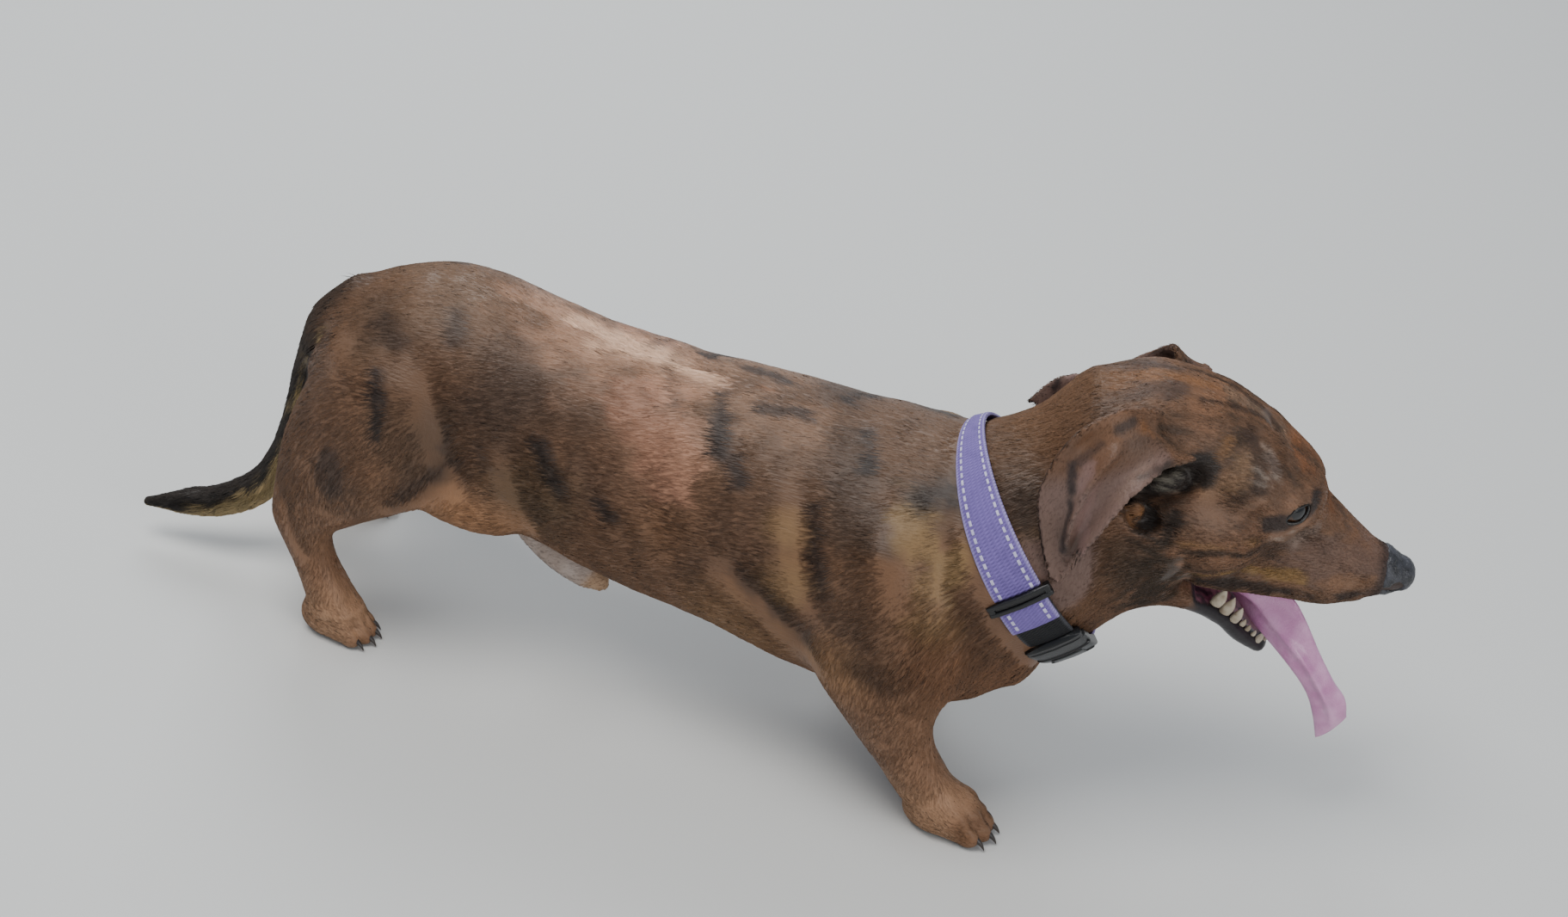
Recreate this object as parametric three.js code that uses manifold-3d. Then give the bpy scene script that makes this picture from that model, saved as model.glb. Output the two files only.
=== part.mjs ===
// A smooth-coated, brindled dachshund in mid-stride, life size, head turned a little to its left,
// mouth open with the tongue hanging out over its right side, wearing a webbing collar.
// +X runs towards the head, +Y to the dog's left, +Z up, in millimetres.
// The origin lies on the floor under the middle of the whole figure.

import * as THREE from 'three';
import { mergeVertices } from 'three/addons/utils/BufferGeometryUtils.js';
import Module from 'manifold-3d';

const wasm = await Module();
wasm.setup();

// Driving dimensions
const GAP = 0.3;
const ORIGIN_X = 20;
const ORIGIN_Y = 0;
const COAT = '#6b4331';
const TAN = '#9a6844';

// The head's own frame: its place beside the ear openings, turned left, nose down, tipped right
const HEAD_AT = [192, 22, 224];
const HEAD_TURN = 20;
const HEAD_PITCH = 22;
const HEAD_TIP = 5;

// The collar ring on the neck
const COLLAR_WIDTH = 16;
const COLLAR_THICK = 2.2;

// Eyes and nose, in the head's frame
const EYE_AT = [68, 20, 14];
const EYE_RADIUS = 10.5;

const vec = (x, y, z) => new THREE.Vector3(x, y, z);
const rad = THREE.MathUtils.degToRad;

// Even spline through a row of numbers, read at u from 0 to 1 along the given keys
function splineAt(keys, values, k) {
  let i = 0;
  while (i < keys.length - 2 && k > keys[i + 1]) i += 1;
  const span = keys[i + 1] - keys[i];
  const t = Math.min(1, Math.max(0, (k - keys[i]) / span));
  const slope = (j) => {
    const a = Math.max(0, j - 1);
    const b = Math.min(keys.length - 1, j + 1);
    return (values[b] - values[a]) / (keys[b] - keys[a]);
  };
  const m0 = slope(i) * span;
  const m1 = slope(i + 1) * span;
  const t2 = t * t;
  const t3 = t2 * t;
  return (2 * t3 - 3 * t2 + 1) * values[i] + (t3 - 2 * t2 + t) * m0
    + (3 * t2 - 2 * t3) * values[i + 1] + (t3 - t2) * m1;
}

// A closed skin over rows of points, with one point at each end
function closedSkin(rows, start, end) {
  const sides = rows[0].length;
  const points = [start, ...rows.flat(), end];
  const index = [];
  const at = (r, s) => 1 + r * sides + (s % sides);
  for (let s = 0; s < sides; s += 1) {
    index.push(0, at(0, s + 1), at(0, s));
    index.push(points.length - 1, at(rows.length - 1, s), at(rows.length - 1, s + 1));
  }
  for (let r = 0; r < rows.length - 1; r += 1) {
    for (let s = 0; s < sides; s += 1) {
      index.push(at(r, s), at(r, s + 1), at(r + 1, s + 1));
      index.push(at(r, s), at(r + 1, s + 1), at(r + 1, s));
    }
  }
  const geometry = new THREE.BufferGeometry().setFromPoints(points);
  geometry.setIndex(index);
  return geometry;
}

// Rings along a path: each station gives its centre, half width, reach up and down and squareness.
// The first and last rings close in a dome of the given length.
const LEFT = vec(0, 1, 0);
const DOWN = vec(0, 0, -1);
function ringFrames(stations, count, axis = null) {
  const keys = stations.map((s, i) => i);
  const read = (name, k) => splineAt(keys, stations.map((s) => s[name]), k);
  const centre = (k) => vec(read('x', k), read('y', k), read('z', k));
  const last = stations.length - 1;
  return Array.from({ length: count }, (_, i) => {
    const k = (last * i) / (count - 1);
    const along = centre(Math.min(last, k + 0.05)).sub(centre(Math.max(0, k - 0.05))).normalize();
    const ahead = axis ?? along;
    const side = LEFT.clone().addScaledVector(ahead, -LEFT.dot(ahead)).normalize();
    const up = ahead.clone().cross(side);
    return {
      at: centre(k), ahead, side, up, w: read('w', k), u: read('u', k), d: read('d', k), n: read('n', k),
    };
  });
}

function ringPoint(f, angle, grow = 0, scale = 1) {
  const c = Math.cos(angle);
  const s = Math.sin(angle);
  const power = 2 / f.n;
  const across = Math.sign(c) * Math.abs(c) ** power * (f.w + grow) * scale;
  const tall = Math.sign(s) * Math.abs(s) ** power * ((s > 0 ? f.u : f.d) + grow) * scale;
  return f.at.clone().addScaledVector(f.side, across).addScaledVector(f.up, tall);
}

const DOME_STEPS = [0.45, 0.82];
function loft(stations, {
  rings = 20, sides = 24, domes = [6, 6], grow = 0, domeSteps = DOME_STEPS, axis = null,
} = {}) {
  const full = stations.map((s) => ({ y: 0, n: 2, ...s }));
  const frames = ringFrames(full, rings, axis);
  const angles = Array.from({ length: sides }, (_, i) => (2 * Math.PI * i) / sides);
  const dome = (f, length, sign) => domeSteps.map((h) => {
    const shifted = { ...f, at: f.at.clone().addScaledVector(f.ahead, sign * (length + grow) * h) };
    return angles.map((a) => ringPoint(shifted, a, grow, Math.sqrt(1 - h * h)));
  });
  const first = frames[0];
  const last = frames[frames.length - 1];
  const rows = [
    ...dome(first, domes[0], -1).reverse(),
    ...frames.map((f) => angles.map((a) => ringPoint(f, a, grow))),
    ...dome(last, domes[1], 1),
  ];
  const start = first.at.clone().addScaledVector(first.ahead, -domes[0] - grow);
  const end = last.at.clone().addScaledVector(last.ahead, domes[1] + grow);
  return closedSkin(rows, start, end);
}

// Solids for joining and cutting
function signedVolume(geometry) {
  const p = geometry.getAttribute('position');
  const point = (i) => vec().fromBufferAttribute(p, geometry.index.getX(i));
  let sum = 0;
  for (let i = 0; i < geometry.index.count; i += 3) sum += point(i).dot(point(i + 1).cross(point(i + 2)));
  return sum / 6;
}
function solid(geometry) {
  const bare = new THREE.BufferGeometry();
  bare.setAttribute('position', geometry.getAttribute('position'));
  if (geometry.index) bare.setIndex(geometry.index);
  const merged = mergeVertices(bare, 1e-4);
  if (signedVolume(merged) < 0) merged.index.array.reverse();
  return new wasm.Manifold(new wasm.Mesh({
    numProp: 3,
    vertProperties: Float32Array.from(merged.getAttribute('position').array),
    triVerts: Uint32Array.from(merged.index.array),
  }));
}

const join = (pieces) => pieces.reduce((sum, piece) => sum.add(piece));

function largest(body) {
  return body.decompose().reduce((best, piece) => (piece.volume() > best.volume() ? piece : best));
}

function asGeometry(body) {
  const mesh = largest(body).getMesh();
  const geometry = new THREE.BufferGeometry();
  geometry.setAttribute('position', new THREE.BufferAttribute(Float32Array.from(mesh.vertProperties), 3));
  geometry.setIndex(Array.from(mesh.triVerts));
  geometry.computeVertexNormals();
  return geometry;
}

function placed(geometry, at, turn = [0, 0, 0], scale = [1, 1, 1]) {
  const matrix = new THREE.Matrix4().compose(
    vec(...at),
    new THREE.Quaternion().setFromEuler(new THREE.Euler(...turn.map(rad), 'ZYX')),
    vec(...scale),
  );
  return geometry.clone().applyMatrix4(matrix);
}

const ball = (at, size, turn, parts) => placed(new THREE.SphereGeometry(1, ...parts), at, turn, size);
const block = (at, size, turn) => placed(new THREE.BoxGeometry(...size), at, turn);

// Head frame: local (forward, left, up) to the dog's frame
const headMatrix = new THREE.Matrix4().compose(
  vec(...HEAD_AT),
  new THREE.Quaternion().setFromEuler(new THREE.Euler(rad(HEAD_TIP), rad(HEAD_PITCH), rad(HEAD_TURN), 'ZYX')),
  vec(1, 1, 1),
);
const onHead = (geometry) => geometry.clone().applyMatrix4(headMatrix);
const headPoint = (u, v, w) => vec(u, v, w).applyMatrix4(headMatrix);

// Torso: level sections from the buttocks to the breast, given by the lines of back and belly
const TORSO_LINES = [
  { x: -264, top: 181, belly: 108, w: 33 },
  { x: -246, top: 199, belly: 94, w: 48 },
  { x: -220, top: 212, belly: 84, w: 57 },
  { x: -190, top: 218.5, belly: 80, w: 60 },
  { x: -150, top: 213, belly: 79, w: 58 },
  { x: -120, top: 209, belly: 75, w: 58 },
  { x: -90, top: 208, belly: 68, w: 60 },
  { x: -60, top: 206, belly: 63, w: 62 },
  { x: -30, top: 207, belly: 61, w: 65 },
  { x: 0, top: 207, belly: 58, w: 69 },
  { x: 30, top: 206, belly: 53, w: 73 },
  { x: 60, top: 207, belly: 51, w: 75 },
  { x: 90, top: 208, belly: 51, w: 74 },
  { x: 115, top: 206, belly: 54, w: 69 },
  { x: 138, top: 194, belly: 61, w: 60 },
  { x: 155, top: 176, belly: 73, w: 46 },
];
const torsoStations = TORSO_LINES.map(({ x, top, belly, w }) => {
  const z = belly + (top - belly) * 0.5;
  return { x, z, w, u: top - z, d: z - belly, n: 2.15 };
});

// Neck, from inside the breast to inside the back of the head
const NECK_STATIONS = [
  { x: 84, y: 0, z: 130, w: 58, u: 60, d: 60 },
  { x: 110, y: 2, z: 144, w: 59, u: 63, d: 62 },
  { x: 137, y: 4, z: 162, w: 57, u: 64.5, d: 63.5 },
  { x: 160, y: 12, z: 180, w: 51, u: 60, d: 58 },
  { x: 182, y: 20, z: 198, w: 46, u: 56, d: 52 },
];
const COLLAR_STATION = 2;
const COLLAR_STATION_SPAN = 31;

// Tail, hanging behind and swung back to the tip
const TAIL_STATIONS = [
  { x: -246, y: -2, z: 188, w: 15, u: 13, d: 16 },
  { x: -265, y: -5, z: 168, w: 14.5, u: 12, d: 14 },
  { x: -275, y: -6, z: 138, w: 12.5, u: 11.5, d: 12 },
  { x: -282, y: -6, z: 106, w: 11, u: 10, d: 11 },
  { x: -290, y: -8, z: 76, w: 10.5, u: 10, d: 10 },
  { x: -303, y: -12, z: 50, w: 10, u: 9, d: 10 },
  { x: -325, y: -20, z: 35, w: 9.5, u: 8.5, d: 9 },
  { x: -348, y: -25, z: 29, w: 7.5, u: 7, d: 7.5 },
  { x: -370, y: -29, z: 23.5, w: 4, u: 3.6, d: 4.2 },
];

// Legs as level sections from the body down: height, rear and front reach, middle and half width
const FORE_LEG = [
  { z: 166, rear: 58, front: 102, y: 46, w: 26 },
  { z: 142, rear: 52, front: 122, y: 52, w: 27 },
  { z: 118, rear: 48, front: 128, y: 57, w: 25 },
  { z: 98, rear: 49, front: 126, y: 61, w: 21 },
  { z: 82, rear: 54, front: 121, y: 63, w: 18.5 },
  { z: 66, rear: 66, front: 119, y: 62, w: 17 },
  { z: 50, rear: 79, front: 122, y: 60, w: 16 },
  { z: 36, rear: 91, front: 130, y: 58.5, w: 15.5 },
  { z: 22, rear: 102, front: 140, y: 57, w: 16 },
];
const HIND_LEG = [
  { z: 172, rear: -246, front: -178, y: 38, w: 25 },
  { z: 148, rear: -262, front: -169, y: 44, w: 27 },
  { z: 124, rear: -270, front: -169, y: 50, w: 25 },
  { z: 106, rear: -272, front: -182, y: 54, w: 21.5 },
  { z: 94, rear: -273, front: -201, y: 56, w: 18 },
  { z: 83, rear: -274, front: -218, y: 57, w: 15.5 },
  { z: 73, rear: -274, front: -232, y: 58, w: 13.5 },
  { z: 63, rear: -270, front: -238, y: 58, w: 12.5 },
  { z: 48, rear: -262, front: -235, y: 58, w: 12 },
  { z: 34, rear: -255, front: -227, y: 58.5, w: 13 },
  { z: 20, rear: -250, front: -218, y: 59, w: 14 },
];

// Steps a leg: below the given height its sections shift forward or back, most at the floor.
// With room to spare the sections reach further out and all round, to part the leg from the trunk.
function legStations({ table, side, reach, from }, room = 0, outward = 0) {
  return table.map(({ z, rear, front, y, w }) => {
    const share = Math.min(1, Math.max(0, (from - z) / from));
    const x = (rear + front) / 2 + reach * share * (2 - share);
    const half = (front - rear) / 2 + room;
    return {
      x, y: side * (y + outward / 2), z, w: w + room + outward / 2, u: half, d: half, n: outward ? 3 : 2.2,
    };
  });
}

// A paw: a padded sole under four arched toes, each with its claw
const TOES = [
  { out: -10.8, ahead: 10, turn: -9, size: 0.9 },
  { out: -3.8, ahead: 15, turn: -3, size: 1 },
  { out: 3.8, ahead: 15, turn: 3, size: 1 },
  { out: 10.8, ahead: 10, turn: 9, size: 0.9 },
];
function pawSolid({ paw, size, turn }) {
  const pieces = [ball([-1, 0, 13], [23, 16, 16], [0, 0, 0], [10, 6])];
  for (const toe of TOES) {
    const wide = 6.3 * toe.size;
    pieces.push(ball([toe.ahead - 2, toe.out, 12], [12 * toe.size, wide, 11], [0, 14, toe.turn], [6, 5]));
    const tip = [toe.ahead + 7, toe.out * 1.06, 6.6];
    pieces.push(ball(tip, [8.4 * toe.size, wide * 0.86, 7.6], [0, 20, toe.turn], [7, 5]));
    const claw = placed(new THREE.CylinderGeometry(0.4, 2, 11, 4), [0, 0, 0], [0, 0, -90]);
    pieces.push(placed(claw, [toe.ahead + 14.5, toe.out * 1.1, 6], [0, 24, toe.turn]));
  }
  const turned = pieces.map((g) => solid(placed(g, paw, [0, 0, turn], [size, size, size])));
  return join(turned).subtract(solid(block([paw[0], paw[1], -20], [120, 80, 40])));
}

// The four legs: table, side, stride and paw
const LEGS = {
  foreleg_right: {
    table: FORE_LEG, side: -1, reach: 0, from: 90, paw: [131, -57, 0], size: 0.97, turn: 4,
  },
  foreleg_left: {
    table: FORE_LEG, side: 1, reach: -64, from: 120, paw: [68, 57, 0], size: 0.98, turn: 3,
  },
  hindleg_right: {
    table: HIND_LEG, side: -1, reach: 0, from: 90, paw: [-234, -59, 0], size: 0.84, turn: 0,
  },
  hindleg_left: {
    table: HIND_LEG, side: 1, reach: -45, from: 130, paw: [-278, 59, 0], size: 0.84, turn: 3,
  },
};
const PARTING_ROOM = 5;
const PARTING_OUTWARD = 36;

// Sheath under the belly
const SHEATH_STATIONS = [
  { x: -156, z: 82, w: 9, u: 9, d: 6 },
  { x: -140, z: 67, w: 11, u: 12, d: 9 },
  { x: -122, z: 56, w: 11.5, u: 14, d: 11 },
  { x: -106, z: 48, w: 9.5, u: 12, d: 9.5 },
  { x: -97, z: 44, w: 6, u: 7, d: 6 },
];

// Skull and muzzle in the head's frame: forward reach, top and bottom lines, half width
const HEAD_LINES = [
  { x: -34, top: 27, base: -62, w: 36, n: 2.3 },
  { x: -12, top: 43.5, base: -66, w: 41, n: 2.3 },
  { x: 10, top: 49, base: -63, w: 42.5, n: 2.3 },
  { x: 30, top: 47.5, base: -59, w: 42, n: 2.4 },
  { x: 50, top: 43, base: -56, w: 38.5, n: 2.5 },
  { x: 66, top: 36.5, base: -51, w: 33, n: 2.6 },
  { x: 78, top: 26, base: -48, w: 28, n: 2.7 },
  { x: 89, top: 18.5, base: -46, w: 25, n: 2.8 },
  { x: 103, top: 13.5, base: -43.5, w: 22.5, n: 2.8 },
  { x: 122, top: 8, base: -39, w: 19.5, n: 2.7 },
  { x: 136, top: 5.5, base: -33.5, w: 17, n: 2.5 },
  { x: 149, top: 4, base: -25, w: 13.5, n: 2.3 },
  { x: 158, top: 1.5, base: -17, w: 10, n: 2.2 },
];
const headStations = HEAD_LINES.map(({ x, top, base, w, n }) => {
  const z = base + (top - base) * 0.48;
  return { x, z, w, u: top - z, d: z - base, n };
});
// Brow over each eye
const BROW = { at: [72, 19.5, 19], size: [11, 10.5, 10.5] };
const MOUTH_ROOF = [
  { x: 66, z: -62, w: 19, u: 26, d: 6, n: 2.4 },
  { x: 90, z: -58, w: 15, u: 32, d: 6, n: 2.4 },
  { x: 120, z: -50, w: 11, u: 30, d: 6, n: 2.4 },
  { x: 142, z: -42, w: 7, u: 22, d: 6, n: 2.2 },
];

// Lower jaw, swung open about 25 degrees
const JAW_STATIONS = [
  { x: -14, z: -60, w: 36, u: 24, d: 46 },
  { x: 12, z: -60, w: 35, u: 20, d: 40 },
  { x: 40, z: -64, w: 29, u: 12, d: 25 },
  { x: 62, z: -67, w: 23.5, u: 8, d: 14 },
  { x: 86, z: -72.5, w: 18.5, u: 7.5, d: 9.5 },
  { x: 106, z: -80.5, w: 14.5, u: 7, d: 8.5 },
  { x: 120, z: -85, w: 11, u: 6, d: 7.5 },
];
const JAW_FLOOR = [
  { x: 70, z: -59, w: 10, u: 6, d: 5 },
  { x: 95, z: -68, w: 8, u: 6, d: 5 },
  { x: 114, z: -76, w: 5, u: 6, d: 4 },
];

// Teeth: forward place, half spacing, height of the gum, width and length of each tooth
const LOWER_TEETH = [
  { x: 74, y: 17.5, z: -62.5, r: 3.3, h: 8 },
  { x: 82, y: 16, z: -65, r: 3.2, h: 8 },
  { x: 90, y: 14.3, z: -67.5, r: 2.8, h: 7.5 },
  { x: 97, y: 12.8, z: -70.5, r: 2.4, h: 6.5 },
  { x: 104, y: 11.5, z: -73.5, r: 2.1, h: 6 },
  { x: 114, y: 9.3, z: -78, r: 2.7, h: 10.5 },
  { x: 121, y: 5.2, z: -80.5, r: 1.6, h: 6 },
  { x: 123.5, y: 1.8, z: -81.5, r: 1.5, h: 5.6 },
];
const UPPER_TEETH = [
  { x: 90, y: 18.5, z: -33, r: 3.4, h: -7 },
  { x: 102, y: 17, z: -31, r: 2.6, h: -6 },
  { x: 131, y: 11, z: -24, r: 2.9, h: -12 },
  { x: 143, y: 3.6, z: -17, r: 1.7, h: -6 },
];
const TOOTH_ROOT = 3;
function teethSolids(rows) {
  const pieces = [];
  for (const { x, y, z, r, h } of rows) {
    for (const side of [-1, 1]) {
      const point = Math.sign(h);
      const cone = new THREE.CylinderGeometry(r * 0.35, r, Math.abs(h) + TOOTH_ROOT, 5);
      const middle = [x, side * y, z + (h - TOOTH_ROOT * point) / 2];
      pieces.push(solid(onHead(placed(cone, middle, [90 * point, 0, 0]))));
    }
  }
  return pieces;
}

// Thin sheets: ears and tongue, each between two edge lines, bowed and thinned to their edges
function sheet(first, second, { bow, thick, rows = 12, cols = 7, tipFrom = 0.7 }) {
  const keys = first.map((p, i) => i / (first.length - 1));
  const edge = (line, k) => vec(...[0, 1, 2].map((axis) => splineAt(keys, line.map((p) => p[axis]), k)));
  const frames = Array.from({ length: rows }, (_, i) => {
    const k = i / (rows - 1);
    const a = edge(first, k);
    const b = edge(second, k);
    const ahead = edge(first, Math.min(1, k + 0.02)).add(edge(second, Math.min(1, k + 0.02)))
      .sub(edge(first, Math.max(0, k - 0.02))).sub(edge(second, Math.max(0, k - 0.02)));
    const normal = b.clone().sub(a).cross(ahead).normalize();
    const past = Math.max(0, (k - tipFrom) / (1 - tipFrom));
    const half = (thick / 2) * Math.sqrt(Math.max(0.12, 1 - past ** 2));
    const face = (t, sign) => a.clone().lerp(b, t)
      .addScaledVector(normal, 4 * t * (1 - t) * bow + sign * half * (4 * t * (1 - t)) ** 0.3);
    const across = Array.from({ length: cols }, (__, j) => j / (cols - 1));
    return [...across.map((t) => face(t, 1)), ...across.slice(1, -1).reverse().map((t) => face(t, -1))];
  });
  const middle = (row) => row.reduce((sum, p) => sum.add(p), vec(0, 0, 0)).multiplyScalar(1 / row.length);
  return closedSkin(frames, middle(frames[0]), middle(frames[rows - 1]));
}

// Ear flaps as front and rear edges from the root to the tip. The right one is folded back off
// its opening and shows its inner side, the left one hangs.
const EARS = {
  ear_right: {
    side: -1,
    bow: 3,
    front: [[6, 34, 28], [-14, 50, 22], [-26, 60, 4], [-28, 66, -27], [-26, 62, -60]],
    rear: [[-24, 24, 36], [-52, 42, 38], [-67, 52, 15], [-62, 54, -22], [-32, 60, -60]],
  },
  ear_left: {
    side: 1,
    bow: 4,
    front: [[22, 35, 27], [16, 50, 28], [7, 59, -5], [-8, 63, -34], [-30, 64, -54]],
    rear: [[-12, 32, 37], [-11, 47, 28], [-26, 57, -4], [-42, 61, -26], [-47, 63, -50]],
  },
};
const EAR_THICK = 4;
function earSheet({ side, bow, front, rear }) {
  const line = (points) => points.map(([x, y, z]) => [x, side * y, z]);
  return onHead(sheet(line(front), line(rear), { bow: side * bow, thick: EAR_THICK, rows: 10, cols: 6 }));
}

// Tongue: left and right edges from inside the mouth, turning over the right lip and hanging
const TONGUE_LOW = [
  [52, 11, -53], [76, 4, -56], [96, -8, -58], [115, -19, -69], [136, -24, -84], [157, -25, -99],
  [173, -26, -114],
];
const TONGUE_HIGH = [
  [56, -9, -50], [84, -11, -44], [112, -14, -42], [138, -18, -52], [157, -22, -65], [173, -25, -80],
  [180, -26, -95],
];
const TONGUE_THICK = 5;
const tongueSheet = (grow = 0) => onHead(sheet(TONGUE_LOW, TONGUE_HIGH, {
  bow: -2, thick: TONGUE_THICK + 2 * grow, rows: 13, cols: 6, tipFrom: 0.85,
}));

// Flews: the lips hanging from the side of the muzzle, from their root down to the edge
const LIP_ROOT = [
  [52, 30, -30], [66, 27, -27], [84, 22.5, -23], [104, 19, -18], [124, 16, -14], [142, 11, -9],
];
const LIP_EDGE = [
  [52, 28, -50], [66, 28, -46.5], [84, 25.5, -41.5], [104, 22, -37], [124, 18, -32], [142, 12, -25.5],
];
function flew(side) {
  const line = (points) => points.map(([x, y, z]) => [x, side * y, z]);
  const shape = { bow: side * 1.5, thick: 6, rows: 7, cols: 4, tipFrom: 0.95 };
  return onHead(sheet(line(LIP_ROOT), line(LIP_EDGE), shape));
}

// A strap round the neck between two angles: 0 is the left side, 90 the nape, 180 the right side
function strap(from, to, { inner, outer, width, steps }) {
  const stations = NECK_STATIONS.map((s) => ({ n: 2, ...s }));
  const frames = ringFrames(stations, 401);
  const along = width / 2 / COLLAR_STATION_SPAN;
  const [back, front] = [-along, along].map((k) => frames[Math.round((COLLAR_STATION + k) * 100)]);
  const corner = (f, angle, lift) => {
    const p = ringPoint(f, angle);
    const out = p.clone().sub(f.at).normalize();
    return p.addScaledVector(out, lift);
  };
  const rows = Array.from({ length: steps + 1 }, (_, i) => {
    const angle = rad(from + ((to - from) * i) / steps);
    const under = [corner(back, angle, inner), corner(front, angle, inner)];
    return [...under, corner(front, angle, outer), corner(back, angle, outer)];
  });
  const middle = (row) => row.reduce((sum, p) => sum.add(p), vec(0, 0, 0)).multiplyScalar(0.25);
  return closedSkin(rows, middle(rows[0]), middle(rows[steps]));
}

// Eyes: ball, lid rim round an almond opening turned along the slit
const EYE_OUT = vec(0.36, 0.88, 0.3).normalize();
const EYE_INWARD = vec(0.6, -0.6, 0.46);
const EYE_SLIT = 17;
const EYE_OPEN = 9.5;
function eyeFrame(side) {
  const out = vec(EYE_OUT.x, side * EYE_OUT.y, EYE_OUT.z);
  const inward = vec(EYE_INWARD.x, side * EYE_INWARD.y, EYE_INWARD.z);
  inward.addScaledVector(out, -inward.dot(out)).normalize();
  const tall = out.clone().cross(inward).normalize();
  const [x, y, z] = EYE_AT;
  return new THREE.Matrix4().makeBasis(inward, out, tall).setPosition(x, side * y, z);
}
const eyeBall = (side, radius) => onHead(
  new THREE.SphereGeometry(radius, 12, 8).applyMatrix4(eyeFrame(side)),
);
function eyeSlit(side) {
  const cut = ball([0, EYE_RADIUS + 1, 0], [EYE_SLIT / 2, 6, EYE_OPEN / 2], [0, 0, 0], [10, 6]);
  return onHead(cut.applyMatrix4(eyeFrame(side)));
}

const dog = new THREE.Group();
function addPart(name, body, colour, roughness = 0.7) {
  const material = new THREE.MeshStandardMaterial({ color: colour, roughness, metalness: 0 });
  const mesh = new THREE.Mesh(asGeometry(body), material);
  mesh.name = name;
  mesh.position.set(ORIGIN_X, ORIGIN_Y, 0);
  dog.add(mesh);
}

// Trunk, neck and tail
const torsoLoft = (grow) => solid(loft(torsoStations, { rings: 22, sides: 24, domes: [10, 14], grow }));
const neckLoft = (grow) => solid(loft(NECK_STATIONS, { rings: 9, sides: 24, domes: [10, 16], grow }));
const skullLoft = (grow) => solid(onHead(loft(headStations, { rings: 22, sides: 20, domes: [16, 8], grow })));
const jawLoft = (grow) => solid(onHead(loft(JAW_STATIONS, { rings: 10, sides: 16, domes: [8, 6], grow })));
const sheath = solid(loft(SHEATH_STATIONS, { rings: 7, sides: 9, domes: [4, 6] }));
const trunk = torsoLoft(0).add(sheath);
const trunkGrown = torsoLoft(GAP);

// Parting planes: neck from trunk behind the collar, head from neck behind the ears, jaw from head
const FAR = 400;
function planeBlock(point, ahead, shift) {
  const q = new THREE.Quaternion().setFromUnitVectors(vec(1, 0, 0), ahead.clone().normalize());
  const matrix = new THREE.Matrix4().compose(
    point.clone().addScaledVector(ahead.clone().normalize(), FAR / 2 + shift),
    q,
    vec(1, 1, 1),
  );
  return solid(new THREE.BoxGeometry(FAR, FAR, FAR).applyMatrix4(matrix));
}
const NECK_BASE = vec(125, 3, 154);
const NECK_BASE_AHEAD = vec(0.8, 0.1, 0.6);
const neckSide = (shift) => planeBlock(NECK_BASE, NECK_BASE_AHEAD, shift);
const headBack = headPoint(-48, 0, 40);
const headAhead = headPoint(-48 + 0.886, 0, 40 + 0.4635).sub(headBack);
const headSide = (shift) => planeBlock(headBack, headAhead, shift);
const JAW_PARTING = { at: [136, 0, -117], size: [200, 120, 120], turn: [0, 4.3, 0] };
const NOSE_PARTING = { at: [168, 0, -6], size: [34, 60, 26], turn: [0, -12, 0] };
function region({ at, size, turn }, grow) {
  return solid(onHead(block(at, [size[0] + 2 * grow, size[1], size[2] + 2 * grow], turn)));
}

// Legs, each with its share of the trunk, and the trunk without them
const limbs = {};
let torso = trunk.subtract(neckSide(0));
const neckCore = neckLoft(0).intersect(neckSide(GAP)).add(trunk.intersect(neckSide(GAP)));
torso = torso.add(neckLoft(0).subtract(neckSide(0)));
const limbLoft = (leg, grow = 0) => solid(
  loft(legStations(leg), { rings: 12, sides: 12, domes: [14, 6], domeSteps: [0.6], grow, axis: DOWN }),
);
const limbRegion = (leg, grow) => solid(loft(legStations(leg, PARTING_ROOM, PARTING_OUTWARD), {
  rings: 12, sides: 12, domes: [14 + PARTING_ROOM, 6], domeSteps: [0.6], grow, axis: DOWN,
}));
for (const [name, leg] of Object.entries(LEGS)) {
  limbs[name] = torso.intersect(limbRegion(leg, 0)).add(limbLoft(leg)).add(pawSolid(leg));
  torso = torso.subtract(limbRegion(leg, GAP));
}
const tail = solid(loft(TAIL_STATIONS, { rings: 16, sides: 11, domes: [6, 5] }))
  .subtract(trunkGrown)
  .subtract(limbLoft(LEGS.hindleg_right, GAP))
  .subtract(limbLoft(LEGS.hindleg_left, GAP));

// Head, jaw and what the mouth shows
const lids = [-1, 1].map((side) => solid(eyeBall(side, EYE_RADIUS + 2)));
const brows = [-1, 1].map((side) => {
  const [x, y, z] = BROW.at;
  return solid(onHead(ball([x, side * y, z], BROW.size, [0, 0, 0], [10, 7])));
});
const flews = [-1, 1].map((side) => solid(flew(side)));
const headFlesh = join([skullLoft(0), jawLoft(0), ...lids, ...brows, ...flews]);
const mouthRoof = solid(onHead(loft(MOUTH_ROOF, { rings: 7, sides: 10, domes: [4, 4] })));
const jawFloor = solid(onHead(loft(JAW_FLOOR, { rings: 5, sides: 8, domes: [4, 3] })));
const EAR_HOLLOW = { at: [-4, 43, 5], size: [22, 12, 11], turn: [0, -48, 0] };
const earHollows = [-1, 1].map((side) => {
  const [x, y, z] = EAR_HOLLOW.at;
  return solid(onHead(ball([x, side * y, z], EAR_HOLLOW.size, EAR_HOLLOW.turn, [11, 6])));
});
const nostrils = [-1, 1].map((side) => (
  solid(onHead(ball([160, side * 6, -9], [4, 2.4, 3], [0, 0, side * 25], [10, 6])))
));
const tongueGrown = solid(tongueSheet(GAP));
const allHead = headFlesh.subtract(mouthRoof).intersect(headSide(GAP));
const eyeCuts = [-1, 1].map((side) => solid(eyeBall(side, EYE_RADIUS + GAP)).add(solid(eyeSlit(side))));
let head = allHead.subtract(region(JAW_PARTING, GAP)).subtract(region(NOSE_PARTING, GAP));
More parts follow.
